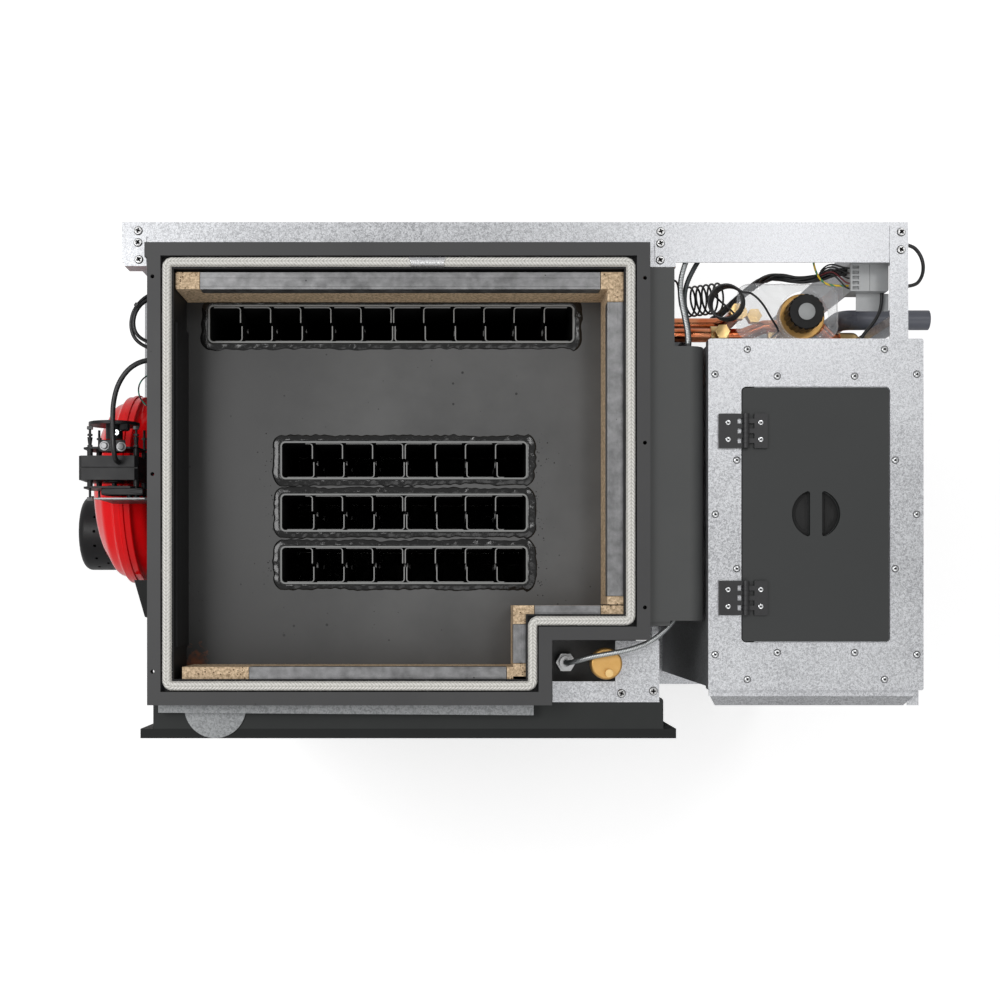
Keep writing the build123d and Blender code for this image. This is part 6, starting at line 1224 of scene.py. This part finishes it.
@dataclass
class Wiring:
    """The capillary tube, the armoured conduits and the cables."""

    chamber_side: float = -454.1

    def build(self) -> None:
        """Make every cord."""
        for cord in [self._capillary(), *self._conduits(), *self._left_cables(), *self._right_cables()]:
            cord.make("boiler")

    @staticmethod
    def _capillary() -> Cord:
        """The black capillary tube: out of the casing, two coils, down to the clamp on the flow pipe."""
        y_axis = np.array((0.0, 1.0, 0.0))
        lean, tip = math.radians(36), math.radians(22)
        raised = (-math.sin(lean), 0.0, math.cos(lean))
        across = (math.cos(tip), 0.0, math.sin(tip))
        left = helix((341.0, 314.0, 1034.0), y_axis, raised, 23.5, 9.8, 90.0, 2160.0, 6 * 14)
        right = helix((396.0, 297.0, 1103.0), across, -y_axis, 26.0, -4.2, 51.0, 2418.0, 7 * 14)
        around = -y_axis * 2 * np.pi * 23.5 + np.cross(y_axis, raised) * 9.8
        lead_in = np.array(left[0]) - unit(around) * 25
        beyond = helix((396.0, 297.0, 1103.0), across, -y_axis, 26.0, -4.2, 51.0, 2418.5, 1)[-1]
        lead_out = np.array(right[-1]) + unit(np.array(beyond) - np.array(right[-1])) * 16
        tail = [(424.0, 309.0, lead_out[2] - 4), (444.0, 294.0, lead_out[2] - 12), (461.0, 276.0, 1106.0),
                (474.0, 264.5, 1090.0), (482.0, 261.5, 1067.0), (483.0, 262.0, 1041.0),
                (483.0, 262.0, 1015.0)]
        entry = [(x, lead_in[1], 1087.0) for x in (303.0, 315.0)]
        route = [*entry, tuple(lead_in), *left, *right, tuple(lead_out), *tail]
        return Cord("capillary_tube", tuple(route), 1.65, 2240.0, "capillary_coils", BLACK_RUBBER,
                    stiffness="stiff")

    def _conduits(self) -> list[Cord]:
        """The armoured conduits of the two sensors."""
        front = (
            (144.5, -259.4, 1096.0), (144.5, -259.4, 1120.0), (156.8, -255.3, 1142.5),
            (178.2, -248.2, 1155.5), (204.0, -243.5, 1160.0), (236.0, -237.5, 1160.5),
            (266.0, -226.5, 1157.0), (289.0, -210.5, 1150.0), (306.0, -192.0, 1142.0),
            (317.0, -172.0, 1137.0), (322.0, -152.0, 1135.0), (322.0, -132.0, 1135.0),
        )
        rear = (
            (325.0, 195.0, 1146.0), (325.0, 216.0, 1146.0), (326.0, 238.0, 1150.0), (321.0, 264.0, 1152.0),
            (314.0, 296.0, 1152.0), (314.0, 324.0, 1150.0), (321.0, 348.0, 1148.0), (330.0, 370.0, 1147.0),
            (334.0, 390.0, 1147.0), (334.0, 408.0, 1147.0),
        )
        low = (
            (329.0, 195.0, 1134.0), (329.0, 216.0, 1134.0), (330.0, 238.0, 1138.0), (326.0, 264.0, 1140.0),
            (321.0, 294.0, 1140.0), (324.0, 318.0, 1139.0), (334.0, 340.0, 1138.0), (347.0, 362.0, 1137.0),
            (358.0, 386.0, 1137.0), (361.0, 408.0, 1137.0),
        )
        return [
            Cord(name, route, radius, length, "sensor_conduits", finish, Build.ARMOURED, slot="armour",
                 reference=reference)
            for name, route, radius, length, finish, reference in (
                ("front_conduit", front, 4.1, 284.0, ARMOUR, (0.5, -0.8, -0.3)),
                ("rear_conduit", rear, 4.1, 222.0, ARMOUR, (1.0, 0.1, 0.2)),
                # The low conduit takes the darker armour as painted shade.
                ("low_conduit", low, 3.8, 222.0, SHADED_ARMOUR, (1.0, 0.1, 0.2)),
            )
        ]

    def _left_cables(self) -> list[Cord]:
        """The doubled loop, the motor cable and the thin wire on the left side."""
        side = self.chamber_side
        outer = (
            (side, 316.0, 1113.0), (-478.0, 316.0, 1113.0), (-504.0, 308.0, 1119.0), (-523.0, 287.0, 1121.0),
            (-529.0, 262.0, 1121.0), (-523.0, 240.0, 1120.0), (-504.0, 227.0, 1117.0),
            (-478.0, 222.5, 1112.0), (side, 222.5, 1112.0),
        )
        inner = (
            (side, 308.0, 1115.0), (-477.0, 308.0, 1115.0), (-502.0, 301.5, 1122.0), (-518.0, 284.5, 1127.0),
            (-523.5, 263.0, 1127.0), (-518.0, 244.5, 1126.0), (-501.0, 234.5, 1121.0),
            (-477.0, 231.0, 1114.0), (side, 231.0, 1114.0),
        )
        motor = (
            (side, 208.0, 1110.0), (-479.0, 208.0, 1110.0), (-506.0, 209.5, 1115.0), (-531.0, 197.0, 1117.0),
            (-549.0, 173.0, 1114.0), (-557.5, 145.0, 1110.0), (-559.0, 116.0, 1108.0),
            (-558.0, 88.0, 1110.0), (-556.5, 66.0, 1110.0), (-556.0, 54.0, 1098.0), (-556.0, 54.0, 1080.0),
        )
        green = (
            (side, 193.0, 1104.0), (-480.0, 193.0, 1104.0), (-504.0, 188.0, 1108.0), (-518.0, 174.0, 1109.0),
            (-519.0, 154.0, 1109.0), (-506.0, 137.5, 1108.0), (-481.0, 130.0, 1104.0), (side, 130.0, 1104.0),
        )
        return [
            Cord("left_loop_outer", outer, 2.75, 199.0, "cables", BLACK_RUBBER),
            Cord("left_loop_inner", inner, 2.75, 178.0, "cables", BLACK_RUBBER),
            Cord("motor_cable", motor, 4.0, 250.0, "cables", BLACK_RUBBER),
            Cord("green_wire", green, 1.2, 161.0, "cables", GREEN_STRIPE, Build.STRIPED, "limp",
                 reference=(0.1, 0.1, 1.0)),
        ]

    def _right_cables(self) -> list[Cord]:
        """The harness, the earth wire, the controller's cable and the loop behind the side rail."""
        harness = (
            (415.0, 335.0, 502.0), (415.0, 335.0, 560.0), (426.0, 338.0, 680.0), (442.0, 343.0, 820.0),
            (452.0, 347.0, 950.0), (460.0, 348.5, 1035.0), (475.0, 347.0, 1076.0), (505.0, 337.0, 1090.0),
            (540.0, 339.0, 1094.0), (562.0, 349.0, 1096.0), (581.2, 349.0, 1096.0),
        )
        earth = (
            (519.0, 408.0, 1130.0), (519.0, 386.0, 1130.0), (523.0, 361.0, 1119.0), (532.0, 340.0, 1109.0),
            (546.0, 327.5, 1106.0), (563.0, 325.0, 1106.0), (581.2, 325.0, 1106.0),
        )
        controller = (
            (634.0, 314.0, 1104.0), (634.0, 293.0, 1104.0), (625.0, 272.0, 1102.0), (610.0, 255.0, 1098.0),
            (602.0, 242.0, 1096.0), (602.0, 228.0, 1096.0),
        )
        loop = (
            (657.0, 318.0, 1136.0), (675.0, 318.0, 1136.0), (687.0, 332.0, 1133.0), (691.0, 351.0, 1129.0),
            (686.0, 370.0, 1127.0), (672.0, 384.0, 1127.0), (654.0, 384.0, 1127.0),
        )
        return [
            Cord("harness", harness, 6.5, 688.0, "cables", BLACK_RUBBER, Build.BUNDLED),
            Cord("earth_wire", earth, 1.6, 127.0, "cables", EARTH_STRIPE, Build.STRIPED, "limp"),
            Cord("controller_cable", controller, 2.75, 95.0, "cables", BLACK_RUBBER),
            Cord("right_loop", loop, 2.75, 110.0, "cables", BLACK_RUBBER),
            *self._terminal_wires(),
        ]

    @staticmethod
    def _terminal_wires() -> list[Cord]:
        """Single wires that leave the harness for the terminals, one of them dark red."""
        wires = []
        ends = ((319.0, 65.6, BLACK_RUBBER), (327.0, 61.8, RED_WIRE), (335.0, 58.5, BLACK_RUBBER),
                (343.0, 56.1, BLACK_RUBBER), (351.0, 54.5, BLACK_RUBBER))
        for k, (level, length, finish) in enumerate(ends):
            start = 342.0 + 3.5 * k
            route = ((533.0 + 2 * k, start - 6, 1096.0), (545.0, start, 1104.0 + k),
                     (556.0, start + 1, 1110.0 + k), (568.0, (start + level) / 2, 1112.0),
                     (577.0, level, 1113.0), (584.5, level, 1114.0))
            wires.append(Cord(f"terminal_wire_{k + 1}", route, 1.3, length, "cables", finish))
        return wires


@dataclass
class ValveKnob:
    """The pale disc let into the top of the mixing valve's knob."""

    place: Point = (522.0, 289.6, 1085.5)

    def build(self) -> None:
        """Make the disc on top of the knob."""
        disc = Shape.turned([(13.2, 0.0), (13.2, 0.5), (12.6, 0.9)], 40)
        piece("knob_disc", disc.placed([self.place]), PALE_DISC, "valve_knob", "grey_plastic")


@dataclass
class CableTies:
    """Black ties round the armoured conduit and the cables."""

    def build(self) -> None:
        """Make the ties: a band round the cord, its head and its cut tail."""
        band = Shape.turned([(4.2, -1.6), (5.4, -1.6), (5.6, -1.2), (5.6, 1.2), (5.4, 1.6), (4.2, 1.6)], 24)
        head = Shape.slab((-3.2, 3.2), (-2.6, 2.6), (0.0, 4.6), 0.8, 0.5)
        tail = Shape.slab((-1.5, 1.5), (0.0, 17.0), (1.6, 2.7), 0.5, 0.3)
        shapes = []
        for place, degrees in (((325.0, 358.0, 1147.6), 24), ((325.3, 224.0, 1147.8), 152)):
            end = tail.spun(math.radians(degrees)).placed([(0.0, 0.0, 5.4)])
            tie = Shape.joined([band.along("Y"), head.placed([(0.0, 0.0, 5.2)]), end])
            shapes.append(tie.placed([place]))
        loop = Shape.ring([(7.2, -1.6), (8.2, -1.6), (8.2, 1.6), (7.2, 1.6)], 24)
        knob = Shape.slab((-3.0, 3.0), (-2.6, 2.6), (0.0, 4.2), 0.8, 0.5).placed([(0.0, 0.0, 7.6)])
        slanted = Shape.joined([loop.along("Y"), knob]).spun(math.radians(55))
        shapes.append(slanted.placed([(-517.0, 290.5, 1122.5)]))
        piece("cable_ties", Shape.joined(shapes), BLACK_PLASTIC, "boiler", "black_plastic")


@dataclass
class ValveBag:
    """Thin clear film round the mixing valve, spread over the relief fittings."""

    valve: tuple[float, float] = (522.5, 288.0)
    span_x: tuple[float, float] = (416.0, 576.0)
    span_y: tuple[float, float] = (250.0, 337.0)
    top_z: float = 1064.0
    corner: float = 19.0

    def build(self) -> None:
        """The film: rows from the valve out to a rounded rectangle, creased, with a hanging edge."""
        (left, right), (front, back) = self.span_x, self.span_y
        corners = [(left, front), (right, front), (right, back), (left, back)]
        outline = rounded_path(corners, self.corner, 2.0)
        away = outline - self.valve
        spoke = np.arctan2(away[:, 1], away[:, 0])
        inner = self.valve + 37.4 * np.stack([np.cos(spoke), np.sin(spoke)], 1)
        share = np.concatenate([np.linspace(0, 1, 34), np.full(5, 1.0)])[:, None]
        drop = np.concatenate([np.zeros(34), np.linspace(0.2, 1, 5)])[:, None]
        flat = inner + (outline - inner) * share[..., None]
        x, y = flat[..., 0], flat[..., 1]
        folds = np.abs(np.sin((x * 0.8 + y * 1.1) / 17 + 2.2 * np.sin(y / 23) + 1.7 * np.sin(x / 41 + 1)))
        cross = np.abs(np.sin((x * 0.5 - y) / 12.5 + 2.4 * np.sin(x / 29) + 0.8))
        lift = 3.2 * (1 - folds) ** 2 + 2.4 * (1 - cross) ** 2 - 2.0 * np.sin(x / 31) * np.sin(y / 19)
        crease = ripple(spoke * 20, 40 * np.pi, 38, 14)[None]
        fade = np.clip(share * 5, 0, 1)
        height = self.top_z + lift * fade - drop * (7.0 + 3.0 * crease)
        draw = 1 - 0.012 * drop + 0.006 * crease * (drop > 0)
        middle = np.array([sum(self.span_x), sum(self.span_y)]) / 2
        points = np.concatenate([middle + (flat - middle) * draw[..., None], height[..., None]], -1)
        film = piece("valve_film", Shape.grid(points, wrap_columns=True), FILM, "boiler", "clear_film")
        wall = film.modifiers.new("wall", "SOLIDIFY")
        wall.thickness = 0.12 * MM
        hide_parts("valve_bag")
        corners_m = points * MM
        across, down = np.diff(corners_m, axis=0)[:, :-1], np.diff(corners_m, axis=1)[:-1]
        LOG.info("film area %.5f m2", np.linalg.norm(np.cross(across, down), axis=-1).sum())


def dress_nodes(nodes: dict[str, bpy.types.Object]) -> None:
    """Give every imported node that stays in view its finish.

    Args:
        nodes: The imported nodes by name.
    """
    for finish, names in CAD_FINISHES.items():
        for name in names:
            slots = nodes[name].data.materials
            slots.clear()
            slots.append(finish.material())
        LOG.info("%s: %s", finish.name, ", ".join(names))


def corners(box: Sequence[Sequence[float]]) -> list[list[float]]:
    """Two corners as plain lists of numbers."""
    return [list(corner) for corner in box]


def main() -> None:
    """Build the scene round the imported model."""
    logging.basicConfig(level=logging.INFO, format="%(name)s: %(message)s")
    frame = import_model()
    packed = corners(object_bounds())
    dress_nodes(frame["nodes"])
    parts = (Studio(), Chamber(), Fasteners(), MotorParts(), ValveKnob(), Wiring(), CableTies(), ValveBag())
    for part in parts:
        part.build()
        LOG.info("%s is made", type(part).__name__)
    {"packed": packed, "dressed": corners(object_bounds())}


if __name__ == "__main__":
    main()
